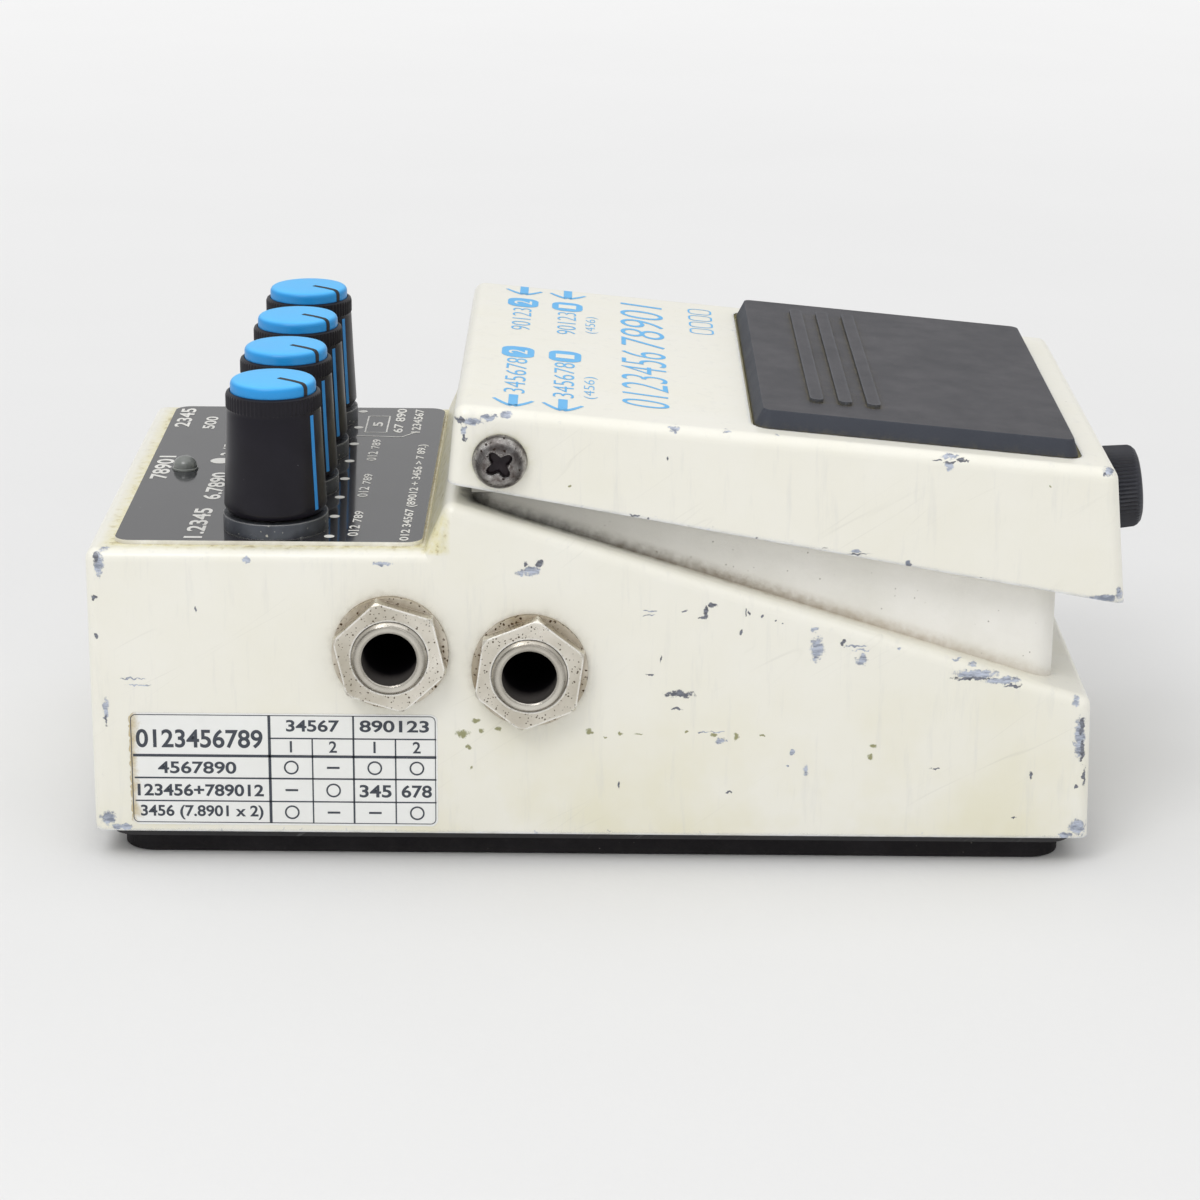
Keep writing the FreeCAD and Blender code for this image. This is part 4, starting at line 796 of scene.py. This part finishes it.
def makeKnob(name):
    low, high = boxInMm(name + "_knob")
    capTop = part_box(name + "_knob_cap")[1].z / mm - low.z + knobLook["taller"]
    height = capTop - knobLook["capProud"]
    band = height - knobLook["bandHeight"]
    x, y = (low.x + high.x) / 2, (low.y + high.y) / 2
    radius = (high.x - low.x) / 2 - knobLook["slimmer"]
    top = radius - knobLook["taper"]
    here = Matrix.Translation((x, y, low.z))
    body = name + "_control"
    points, faces = placed(turned(knobProfile(radius, top, band, height), knobLook["steps"],
                                  knobLook["ridges"], knobLook["ridgeDepth"], knobLook["ridged"]), here)
    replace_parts(makePiece(name + "KnobBarrel", points, faces, finishes["knob_plastic"], body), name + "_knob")
    wide = knobLook["capRadius"]
    edge = [(wide, height - 0.7, 1, 0), (wide, capTop - 0.75, 1, 0)]
    for step in range(1, 8):  # the soft round of the cap's upper edge
        angle = math.radians(90 * step / 8)
        edge.append((wide - 0.65 * (1 - math.cos(angle)), capTop - 0.75 + 0.65 * math.sin(angle),
                     math.cos(angle), math.sin(angle)))
    edge += [(wide - 0.8, capTop - 0.07, 0, 1), (wide * 0.6, capTop - 0.01, 0, 1),
             (0.9, capTop - 0.002, 0, 1)]
    points, faces = placed(turned([row[:2] for row in edge], 96), here)
    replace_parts(makePiece(name + "KnobCap", points, faces, finishes["cap_plastic"], body),
                name + "_knob_cap")
    lift = knobLook["lift"]
    angle = math.radians(-90 - knobLook["pointerAngle"])
    points, faces = placed(ribbonOn(edge, angle, knobLook["pointerWidth"], lift), here)
    makePiece(name + "KnobPointer", points, faces, inkBlack, body)
    side = [(radius, 0.8, 1, 0), (radius - 0.03, 1.4, 1, 0), (top + 0.16, band * 0.55, 1, 0),
            (top - 0.06, band - 0.35, 1, 0)]
    angle = math.radians(-90 - knobLook["lineAngle"])
    points, faces = placed(ribbonOn(side, angle, knobLook["lineWidth"], lift), here)
    makePiece(name + "KnobLine", points, faces, inkBlue, body)


inkBlack = finish(
    "pointerBlack", colour=(30, 30, 34), second=(24, 24, 28), roughness=0.5, grain=4.0, bump=0.01,
    dirt=None)
inkBlue = finish(
    "lineBlue", colour=(44, 142, 214), second=(38, 130, 200), roughness=0.4, grain=4.0, bump=0.01,
    dirt=None)
for name in controls:
    makeKnob(name)
print("knobs made")


# ---- thumbscrew head at the toe
thumbLook = {"ridges": 60, "ridgeDepth": 0.26, "steps": 240, "ridged": (3, 4, 5),
             "profile": [(2.2, 0.3), (4.4, 0.3), (5.05, 0.45), (5.26, 0.8), (5.28, 3.0), (5.16, 5.8),
                         (4.98, 6.2), (4.6, 6.6), (4.0, 6.82), (3.2, 6.88), (2.9, 6.8), (1.0, 6.78)]}


def makeThumbHead():
    turn = jointOf["thumbscrew_turn"]
    axis, seat = Vector(turn["axis"]).normalized(), Vector(turn["pos_m"]) / mm
    frameOf = axis.to_track_quat("Z", "Y").to_matrix().to_4x4()
    here = Matrix.Translation(seat) @ frameOf
    points, faces = placed(turned(thumbLook["profile"], thumbLook["steps"], thumbLook["ridges"],
                                  thumbLook["ridgeDepth"], thumbLook["ridged"]), here)
    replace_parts(makePiece("thumbscrewGrip", points, faces, finishes["thumb_plastic"],
                          "thumbscrew_turning"), "thumbscrew_head")


makeThumbHead()


# ---- hinge screws: round heads with a worn cross recess
screwLook = {"radius": 3.2, "height": 1.9, "edge": 3.2, "rings": 46, "steps": 120, "waist": 0.86,
             "lobe": 0.82, "depth": 1.25, "turn": 9.0,
             "shank": [(2.0, 33.6), (2.0, 30.2), (1.45, 30.2), (1.45, 25.8)]}


def makeHingeScrews():
    low, high = boxInMm("hinge_screws")
    y, z, top = (low.y + high.y) / 2, (low.z + high.z) / 2, high.x
    look = screwLook
    points, faces, deep = [], [], set()
    for side in (1, -1):
        first = len(points)
        deep.add(first)
        rings = [(look["radius"] * ((ring + 1) / look["rings"]) ** 0.85) for ring in range(look["rings"])]
        slopes = [max(0.0, 1 - (radius / look["radius"]) ** look["edge"]) for radius in rings]
        heights = [look["height"] * slope ** 0.5 for slope in slopes]
        points.append((side * (top - look["depth"]), y, z))
        for radius, height in zip(rings, heights):
            for step in range(look["steps"]):
                angle = 2 * math.pi * step / look["steps"]
                lobes = 0.5 + 0.5 * math.cos(4 * (angle - math.radians(look["turn"])) + math.pi)
                edge = look["waist"] + look["lobe"] * lobes ** 1.1
                sunk = min(1.0, max(0.0, (edge + 0.16 - radius) / 0.32))
                sunk = sunk * sunk * (3 - 2 * sunk)
                if sunk > 0.3:
                    deep.add(len(points))
                depth = look["depth"] * sunk * (1 - 0.35 * radius / (look["waist"] + look["lobe"]))
                points.append((side * (top - look["height"] + height - depth),
                               y + radius * math.cos(angle), z + radius * math.sin(angle)))
        for radius, x in look["shank"]:
            for step in range(look["steps"]):
                angle = 2 * math.pi * step / look["steps"]
                points.append((side * x, y + radius * math.cos(angle), z + radius * math.sin(angle)))
        steps = look["steps"]
        for step in range(steps):
            after = (step + 1) % steps
            fan = [first, first + 1 + step, first + 1 + after]
            faces.append(tuple(fan if side > 0 else reversed(fan)))
            for ring in range(look["rings"] + len(look["shank"]) - 1):
                start = first + 1 + ring * steps
                quad = [start + step, start + steps + step, start + steps + after, start + after]
                faces.append(tuple(quad if side > 0 else reversed(quad)))
        cap = [len(points) - steps + step for step in range(steps)]
        faces.append(tuple(cap if side < 0 else reversed(cap)))
    heads = makePiece("hingeScrewHeads", points, faces, darkScrew, "pedal_housing")
    heads.data.materials.append(recessDark)
    for face in heads.data.polygons:
        if deep.issuperset(face.vertices):
            face.material_index = 1
    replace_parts(heads, "hinge_screws")


makeHingeScrews()


# ---- check lamp: clear dome with a metal cup under it
lampLook = {"foot": 1.5, "flange": 1.62, "dome": 1.48, "skirt": 0.45, "rise": 1.25, "steps": 10}


def makeLamp():
    low, high = boxInMm("check_led")
    x, y = (low.x + high.x) / 2, (low.y + high.y) / 2
    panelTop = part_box("control_panel")[1].z / mm
    here = Matrix.Translation((x, y, 0))
    look = lampLook
    dome = [(look["foot"], low.z), (look["foot"], panelTop - 0.05), (look["flange"], panelTop + 0.02),
            (look["flange"] - 0.02, panelTop + 0.2), (look["foot"], panelTop + 0.26),
            (look["dome"], panelTop + look["skirt"])]
    for step in range(1, look["steps"] + 1):
        angle = math.pi / 2 * step / look["steps"]
        dome.append(((look["dome"] - 0.02) * math.cos(angle) + 0.02,
                     panelTop + look["skirt"] + look["rise"] * math.sin(angle)))
    points, faces = placed(turned(dome, 40), here)
    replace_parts(makePiece("checkLampLens", points, faces, finishes["lamp_plastic"], "pedal_housing"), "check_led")
    cup = [(1.1, panelTop - 1.2), (1.1, panelTop - 0.3), (0.3, panelTop - 0.6)]
    points, faces = placed(turned(cup, 32), here)
    makePiece("checkLampCup", points, faces, finishes["tin"], "pedal_housing")


makeLamp()


# ---- return spring: an open coil, made at rest; the real one shortens as the treadle goes down
springLook = {"turns": 6.5, "wire": 0.6, "around": 10, "perTurn": 28}


def makeSpring():
    low, high = boxInMm("return_spring")
    x, y = (low.x + high.x) / 2, (low.y + high.y) / 2
    wire = springLook["wire"]
    radius = (high.x - low.x) / 2 - wire
    count, around = int(springLook["turns"] * springLook["perTurn"]), springLook["around"]
    points = []
    for i in range(count + 1):
        share = i / count
        angle = 2 * math.pi * springLook["turns"] * share
        rise = share * share * (3 - 2 * share) * 0.3 + share * 0.7  # closer coils at both ends
        height = low.z + wire + (high.z - low.z - 2 * wire) * rise
        for k in range(around):
            turn = 2 * math.pi * k / around
            reach = radius + wire * math.cos(turn)
            points.append((x + reach * math.cos(angle), y + reach * math.sin(angle),
                           height + wire * math.sin(turn)))
    faces = tubeFaces(count + 1, around)
    coil = makePiece("returnCoil", points, faces, finishes["spring_steel"], "pedal_housing")
    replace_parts(coil, "return_spring")
    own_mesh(coil)


makeSpring()
print("thumbscrew, lamp and spring made")


# ---- flat printed shapes, each as (points, faces) in a plane
def bar(x0, y0, x1, y1):
    return [(x0, y0), (x1, y0), (x1, y1), (x0, y1)], [(0, 1, 2, 3)]


def stroke(start, end, width):
    along = (Vector(end) - Vector(start)).normalized() * (width / 2)
    side = Vector((-along.y, along.x))
    corners = [Vector(start) - side, Vector(end) - side, Vector(end) + side, Vector(start) + side]
    return [tuple(c) for c in corners], [(0, 1, 2, 3)]


def disc(x, y, radius, steps=20):
    ring = [(x + radius * math.cos(2 * math.pi * i / steps),
             y + radius * math.sin(2 * math.pi * i / steps)) for i in range(steps)]
    return ring, [tuple(range(steps))]


def outline(loop, width):  # a closed line of one width round a loop of points
    count = len(loop)
    points, faces = [], []
    for i in range(count):
        before, here, after = Vector(loop[i - 1]), Vector(loop[i]), Vector(loop[(i + 1) % count])
        along = (after - before).normalized()
        side = Vector((-along.y, along.x)) * width / 2
        points += [tuple(here + side), tuple(here - side)]
    for i in range(count):
        j = (i + 1) % count
        faces.append((2 * i, 2 * i + 1, 2 * j + 1, 2 * j))
    return points, faces


def roundedLoop(x0, y0, x1, y1, radius):
    loop = []
    for cx, cy, start in ((x1 - radius, y0 + radius, -90), (x1 - radius, y1 - radius, 0),
                          (x0 + radius, y1 - radius, 90), (x0 + radius, y0 + radius, 180)):
        for step in range(6):
            angle = math.radians(start + 18 * step)
            loop.append((cx + radius * math.cos(angle), cy + radius * math.sin(angle)))
    return loop


def hoop(x, y, radius, width):
    return outline([(x + radius * math.cos(i * math.pi / 14),
                     y + radius * math.sin(i * math.pi / 14)) for i in range(28)], width)


def figures(text, x, y, height, slant=0.0, bold=0.0):  # plain numbers, centred on a point
    curve = bpy.data.curves.new("figures", "FONT")
    curve.body = text
    curve.align_x, curve.align_y = "CENTER", "CENTER"
    curve.offset = bold
    holder = bpy.data.objects.new("figures", curve)
    bpy.context.scene.collection.objects.link(holder)
    bpy.context.view_layer.update()
    flat = bpy.data.meshes.new_from_object(holder.evaluated_get(bpy.context.evaluated_depsgraph_get()))
    size = height / 0.72
    points = [(x + (v.co.x + v.co.y * slant) * size, y + v.co.y * size) for v in flat.vertices]
    faces = [tuple(face.vertices) for face in flat.polygons]
    bpy.data.objects.remove(holder)
    bpy.data.curves.remove(curve)
    bpy.data.meshes.remove(flat)
    return points, faces


def figuresIn(text, x0, y0, x1, y1, slant=0.0, bold=0.0):  # numbers that fill a given box
    points, faces = figures(text, 0.0, 0.0, 1.0, slant, bold=bold)
    lowX, highX = min(p[0] for p in points), max(p[0] for p in points)
    lowY, highY = min(p[1] for p in points), max(p[1] for p in points)
    return [(x0 + (u - lowX) / (highX - lowX) * (x1 - x0),
             y0 + (v - lowY) / (highY - lowY) * (y1 - y0)) for u, v in points], faces


def printOn(name, plane, shapes, material, body, lift=0.025):
    origin, across, up = plane
    out = across.cross(up).normalized()
    points, faces = [], []
    for flat, flatFaces in shapes:
        first = len(points)
        points += [origin + across * u + up * v + out * lift for u, v in flat]
        faces += [tuple(first + i for i in face) for face in flatFaces]
    return makePiece(name, points, faces, material, body, smooth=False)


def printFinish(name, colour, second, worn):  # ink that has rubbed through in places
    material, tree, shader = newMaterial(name)
    grain = useGroup(tree, fineGrain, Scale=3.0).node.outputs
    rubbed = cloud(tree, pointInMm(tree), 1.4, 5.0, 0.7)
    relief = put(tree, "Bump", {"Distance": 0.01 * mm, "Height": grain["Height"]})
    feed(tree, shader, {"Base Color": mixed(tree, grain["Tone"], shade(*colour), shade(*second)),
                        "Roughness": between(tree, grain["Tone"], 0.0, 1.0, 0.4, 0.55), "Normal": relief,
                        "Alpha": between(tree, rubbed, worn - 0.02, worn + 0.02, 1.0, 0.0)})
    return material


sideInk = printFinish("labelInk", (56, 62, 72), (66, 71, 80), 0.7)
treadleInk = printFinish("treadleBlueInk", (84, 176, 236), (112, 188, 238), 0.7)
plateInk = printFinish("plateCreamInk", (238, 238, 230), (230, 230, 220), 0.8)
panelInk = printFinish("panelPaleInk", (242, 241, 236), (220, 219, 214), 0.78)


# ---- label on the side: a ruled table with plain numbers, rings and dashes
label = {"rear": 59.9, "front": 23.25, "low": 4.45, "high": 18.6, "thin": 0.17, "thick": 0.34,
         "columns": [16.7, 21.77, 26.65, 31.63], "rows": [11.04, 8.78, 5.95, 3.03],
         "marks": ["o-oo", "-o  ", "o--o"],  # rings and dashes, row by row
         "words": {  # each run of numbers, the box it fills and how bold it is
             "0123456789": (0.9, 9.75, 15.9, 12.1, 0.02), "34567": (18.7, 11.89, 25.0, 13.39, 0.022),
             "890123": (27.4, 11.89, 35.6, 13.39, 0.022), "4567890": (3.4, 6.5, 12.7, 8.05, 0.02),
             "123456+789012": (0.9, 3.63, 15.9, 5.18, 0.025),
             "3456 (7.8901 x 2)": (1.2, 0.65, 15.8, 2.5, 0.022),
             "345": (27.3, 3.63, 31.1, 5.23, 0.022), "678": (32.3, 3.63, 35.9, 5.23, 0.022)}}


def frayedEdge(wide, tall):  # a rounded box with more points along its sides, pushed in and out a little
    edge = roundedLoop(0.0, 0.0, wide, tall, 0.8)
    frayed = []
    for i, (u, v) in enumerate(edge):
        nextU, nextV = edge[(i + 1) % len(edge)]
        steps = max(1, int(math.hypot(nextU - u, nextV - v) / 0.3))
        for k in range(steps):
            a, b = u + (nextU - u) * k / steps, v + (nextV - v) * k / steps
            torn = 0.16 * math.sin(a * 3.1 + b * 5.3) + 0.1 * math.sin(a * 7.7 - b * 11.9)
            side = 1.0 if a < 1.2 else 0.3
            frayed.append((a + abs(torn) * side * (1 if a < wide / 2 else -1), b + torn * 0.3 * side))
    return frayed


def paperFinish():  # white paper, browned along its rear edge
    material, tree, shader = newMaterial("labelPaper")
    point = pointInMm(tree)
    grain = useGroup(tree, fineGrain, Scale=2.0).node.outputs
    colour = mixed(tree, times(tree, grain["Tone"], 0.5), shade(242, 243, 241), shade(233, 233, 228))
    aged = plus(tree, partsOf(tree, point)["Y"], times(tree, cloud(tree, point, 0.5, 5.0, 0.7), 3.4))
    colour = mixed(tree, between(tree, aged, 60.2, 61.4, 0.0, 0.9), colour, shade(196, 178, 134))
    dots = useGroup(tree, specks, Spacing=1.9, Share=0.2, Size=0.12)
    colour = mixed(tree, times(tree, dots, 0.5), colour, shade(150, 146, 120))
    relief = put(tree, "Bump", {"Distance": 0.02 * mm, "Height": grain["Height"]})
    feed(tree, shader, {"Base Color": colour, "Normal": relief,
                        "Roughness": between(tree, grain["Tone"], 0.0, 1.0, 0.4, 0.5)})
    return material


def makeLabel():
    wide, tall = label["rear"] - label["front"], label["high"] - label["low"]
    plane = (Vector((sideFace, label["rear"], label["low"])), Vector((0, -1, 0)), Vector((0, 0, 1)))
    paper = frayedEdge(wide, tall)
    printOn("sideLabel", plane, [(paper, [tuple(range(len(paper)))])], paperFinish(), "pedal_housing", 0.03)
    thin, thick = label["thin"], label["thick"]
    first, second, third, fourth = label["columns"]
    headRow, upper, middle, lower = label["rows"]
    lines = [stroke((first, 0.3), (first, tall - 0.2), thick),
             stroke((third, 0.3), (third, tall - 0.2), thin * 1.3),
             stroke((second, 0.3), (second, headRow), thin),
             stroke((fourth, 0.3), (fourth, headRow), thin),
             stroke((first, headRow), (wide - 0.2, headRow), thin),
             stroke((0.5, upper), (wide - 0.2, upper), thick),
             stroke((0.6, middle), (wide - 0.2, middle), thin * 1.2),
             stroke((0.6, lower), (wide - 0.2, lower), thin),
             outline(roundedLoop(0.35, 0.3, wide - 0.3, tall - 0.25, 0.6), thin * 0.6)]
    centres = [(a + b) / 2 for a, b in zip(label["columns"], label["columns"][1:] + [wide])]
    heights = [(upper + middle) / 2, (middle + lower) / 2, (lower + 0.3) / 2]
    for height, row in zip(heights, label["marks"]):
        for centre, mark in zip(centres, row):
            if mark == "o":
                lines.append(hoop(centre, height, 0.78, 0.2))
            elif mark == "-":
                lines.append(bar(centre - 0.75, height - 0.13, centre + 0.75, height + 0.13))
    for centre, text in zip(centres, "1212"):
        lines.append(figures(text, centre, (headRow + upper) / 2, 1.45, bold=0.015))
    lines += [figuresIn(text, *place[:4], bold=place[4]) for text, place in label["words"].items()]
    printOn("labelPrint", plane, lines, sideInk, "pedal_housing", 0.05)


makeLabel()


# ---- blue print on the treadle: arrows with numbers on plates, and plain numbers in the title's place
treadleTop = {"slope": 5.33, "height": 6.0, "rows": [("2", -0.85), ("1", -6.65)], "outTip": -31.1,
              "inTip": 27.2, "barb": 2.9, "title": (-25.6, -19.2, 28.4, -13.6)}


barb = [(0.0, 0.62), (0.2, 0.56), (0.45, 0.48), (0.7, 0.4), (1.0, 0.3)]  # how far along, how wide


def arrow(tip, v, reach, tail):  # open head with curved barbs and a short thick shaft
    shapes = [bar(tip + 0.35, v - 0.55, tail, v + 0.55)]
    for side in (1, -1):
        bend = [(tip + 0.2 + reach * t, v + side * (0.1 + 2.2 * t ** 0.75)) for t, wide in barb]
        for i in range(len(barb) - 1):
            shapes.append(stroke(bend[i], bend[i + 1], (barb[i][1] + barb[i + 1][1]) / 2 + 0.1))
    return shapes


def makeTreadlePrint():
    slope = math.radians(treadleTop["slope"])
    hinge = Vector(jointOf["treadle_hinge"]["pos_m"]) / mm
    up = Vector((0, math.cos(slope), math.sin(slope)))
    plane = (hinge + Vector((0, -math.sin(slope), math.cos(slope))) * treadleTop["height"],
             Vector((1, 0, 0)), up)
    shapes, plateFigures = [], []
    for figure, v in treadleTop["rows"]:
        out, back = treadleTop["outTip"], treadleTop["inTip"]
        shapes += arrow(out, v, treadleTop["barb"], out + 5.4)
        shapes += arrow(back, v, treadleTop["barb"] * 0.85, back + 4.8)
        shapes += [figuresIn("345678", out + 6.3, v - 1.25, out + 23.2, v + 1.25, bold=-0.008),
                   figuresIn("90123", back - 20.0, v - 1.2, back - 7.9, v + 1.2, bold=-0.012)]
        for left, right in ((out + 23.7, out + 29.2), (back - 7.1, back - 2.2)):
            loop = roundedLoop(left, v - 2.0, right, v + 2.0, 1.5)
            shapes.append((loop, [tuple(range(len(loop)))]))
            plateFigures.append(figuresIn(figure, (left + right) / 2 - 1.0, v - 1.15,
                                          (left + right) / 2 + 1.0, v + 1.15))
    v = treadleTop["rows"][1][1]
    shapes += [figuresIn("(456)", -24.2, v - 4.1, -13.7, v - 2.4, bold=-0.012),
               figuresIn("(456)", 9.0, v - 4.1, 18.0, v - 2.4, bold=-0.015)]
    left, low, right, high = treadleTop["title"]
    middle = left + (right - left) * 0.53
    shapes += [figuresIn("0123456", left, low, middle - 1.2, high, slant=0.16, bold=-0.012),
               figuresIn("78901", middle + 1.2, low, right, high, slant=0.16, bold=-0.012)]
    for i in range(4):
        shapes.append(outline(roundedLoop(14.8 + i * 3.7, -25.6, 17.6 + i * 3.7, -22.7, 0.9), 0.26))
    printOn("treadlePrint", plane, shapes, treadleInk, "treadle_unit")
    printOn("treadlePlateNumbers", plane, plateFigures, plateInk, "treadle_unit", 0.04)


makeTreadlePrint()


# ---- pale print on the control panel: dial dots, plain numbers, thin lines
panelPrint = {
    "stops": 9, "firstStop": 32.0, "sweep": 296.0, "dotRing": 7.8, "endDot": 0.62, "midDot": 0.45,
    "words": {  # each run of numbers and the box it fills
        "1.2345": (-30.0, 50.9, -17.7, 53.1), "6.7890": (-13.7, 50.6, -1.8, 52.8),
        "3.456": (6.2, 50.6, 13.5, 52.8), "78901": (-4.8, 58.2, 5.8, 60.4),
        "2345": (20.2, 58.4, 29.7, 60.4), "500": (19.3, 55.0, 25.5, 56.6),
        "2000": (19.3, 51.9, 27.4, 53.4), "4000": (19.3, 48.8, 27.4, 50.3), "5": (21.2, 33.0, 23.4, 34.3),
        "67 890": (18.1, 30.2, 30.4, 31.5), "1234567": (18.2, 27.9, 30.2, 29.1),
        "012 34567 (89012 + 3456 > 7 89.)": (-30.4, 26.4, 12.3, 27.8)}}


def makePanelPrint():
    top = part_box("control_panel")[1].z / mm
    plane = (Vector((0, 0, top)), Vector((1, 0, 0)), Vector((0, 1, 0)))
    shapes = []
    for name in controls:
        low, high = boxInMm(name + "_knob")
        x, y = (low.x + high.x) / 2, (low.y + high.y) / 2
        stops = panelPrint["stops"]
        for stop in range(stops):  # a large dot at each end of the travel, small ones between
            angle = math.radians(-90 - panelPrint["firstStop"] - panelPrint["sweep"] * stop / (stops - 1))
            ends = stop in (0, stops - 1)
            if ends or name == "mode":
                shapes.append(disc(x + panelPrint["dotRing"] * math.cos(angle),
                                   y + panelPrint["dotRing"] * math.sin(angle),
                                   panelPrint["endDot" if ends else "midDot"]))
        if name != "mode":
            shapes += [figuresIn("012", x - 3.9, y - 9.95, x + 0.5, y - 8.7, bold=0.016),
                       figuresIn("789", x + 1.8, y - 10.0, x + 6.4, y - 8.9, bold=0.016)]
    shapes += [figuresIn(text, *place, bold=0.022) for text, place in panelPrint["words"].items()]
    shapes += [disc(3.7, 52.4, 1.3), outline(roundedLoop(18.2, 32.3, 26.5, 35.1, 0.2), 0.2),
               stroke((16.5, 36.0), (16.0, 30.2), 0.22), stroke((16.0, 30.2), (18.2, 28.6), 0.22)]
    printOn("panelPrint", plane, shapes, panelInk, "pedal_housing")


makePanelPrint()


# ---- dark crosses in the heads of the base screws: painted shade standing for their recesses
crossLook = {"headRadius": 2.9, "arm": 1.6, "width": 0.7}


def makeScrewCrosses():
    low, high = boxInMm("base_screws")
    plane = (Vector((0, 0, low.z)), Vector((-1, 0, 0)), Vector((0, 1, 0)))
    shapes = []
    inset, arm, width = crossLook["headRadius"], crossLook["arm"], crossLook["width"]
    for x in (low.x + inset, high.x - inset):
        for y in (low.y + inset, high.y - inset):
            shapes += [stroke((-x - arm, y), (-x + arm, y), width),
                       stroke((-x, y - arm), (-x, y + arm), width)]
    printOn("baseScrewCrosses", plane, shapes, recessShadeBlack, "pedal_housing", 0.03)


makeScrewCrosses()
print("prints made")


# ---- floor, light and camera
studio = {"floor": (228, 228, 228), "farFloor": (255, 255, 255), "farGlow": 0.045, "spread": (0.15, 0.8),
          "horizon": 0.54, "zenith": 0.82,
          "lamps": {"softBox": {"place": (-0.2, 0.0, 1.15), "size": 1.5, "power": 3.6},
                    "keyBox": {"place": (-0.6, 0.32, 0.82), "size": 0.4, "power": 2.5}}}


def makeFloor():
    material, tree, shader = newMaterial("paleFloor")
    point = put(tree, "TexCoord", output="Object")
    soft = cloud(tree, point, 5.0, 3.0)
    paper = cloud(tree, point, 900.0, 2.0)
    away = put(tree, "VectorMath", {0: point}, "Value", operation="LENGTH")
    spread = between(tree, plus(tree, away, times(tree, soft, 0.06)), *studio["spread"])
    glow = mixed(tree, spread, (0.0, 0.0, 0.0, 1.0), (studio["farGlow"],) * 3 + (1.0,))
    height = plus(tree, soft, times(tree, paper, 0.006))
    relief = put(tree, "Bump", {"Strength": 0.4, "Distance": 0.012, "Height": height})
    feed(tree, shader,
         {"Base Color": mixed(tree, spread, shade(*studio["floor"]), shade(*studio["farFloor"])),
          "Roughness": 0.85, "Emission Color": glow, "Emission Strength": 1.0, "Normal": relief})
    mesh = bpy.data.meshes.new("paleFloor")
    mesh.from_pydata([(-3, -3, 0), (3, -3, 0), (3, 3, 0), (-3, 3, 0)], [], [(0, 1, 2, 3)])
    mesh.materials.append(material)
    floor = bpy.data.objects.new("paleFloor", mesh)
    floor.location.z = -0.0001
    bpy.context.scene.collection.objects.link(floor)


def makeLight():
    world = bpy.data.worlds.new("paleStudio")
    bpy.context.scene.world = world
    world.use_nodes = True
    tree = world.node_tree
    sky = tree.nodes["Background"]
    upward = partsOf(tree, put(tree, "TexCoord", output="Generated"))["Z"]
    level = between(tree, upward, 0.0, 0.9, studio["horizon"], studio["zenith"])
    tree.links.new(level, sky.inputs["Strength"])
    sky.inputs["Color"].default_value = (1.0, 1.0, 1.0, 1.0)
    for name, look in studio["lamps"].items():
        lamp = bpy.data.lights.new(name, "AREA")
        lamp.shape, lamp.size, lamp.energy = "SQUARE", look["size"], look["power"]
        holder = bpy.data.objects.new(name, lamp)
        holder.location = look["place"]
        holder.rotation_euler = (Vector((0, 0, 0.03)) - holder.location).to_track_quat("-Z", "Y").to_euler()
        bpy.context.scene.collection.objects.link(holder)


photoCamera = {"place": (-0.400927, 0.004846, 0.151988), "lens": 99.24, "yaw": -0.1, "pitch": 17.941,
               "roll": 0.509}


def makeCamera():
    yaw, pitch, roll = (math.radians(photoCamera[key]) for key in ("yaw", "pitch", "roll"))
    ahead = Vector((math.cos(pitch) * math.cos(yaw), math.cos(pitch) * math.sin(yaw), -math.sin(pitch)))
    right = Vector((math.sin(yaw), -math.cos(yaw), 0))
    above = right.cross(ahead)
    turnedRight = right * math.cos(roll) + above * math.sin(roll)
    turnedAbove = above * math.cos(roll) - right * math.sin(roll)
    lens = bpy.data.cameras.new("photoCamera")
    lens.lens, lens.sensor_width = photoCamera["lens"], 36.0
    lens.clip_start, lens.clip_end = 0.01, 20.0
    camera = bpy.data.objects.new("photoCamera", lens)
    bpy.context.scene.collection.objects.link(camera)
    turn = Matrix((turnedRight, turnedAbove, -ahead)).transposed().to_4x4()
    camera.matrix_world = Matrix.Translation(photoCamera["place"]) @ turn
    bpy.context.scene.camera = camera


makeFloor()
makeLight()
makeCamera()
bpy.context.scene.view_settings.view_transform = "Standard"
print("studio made")
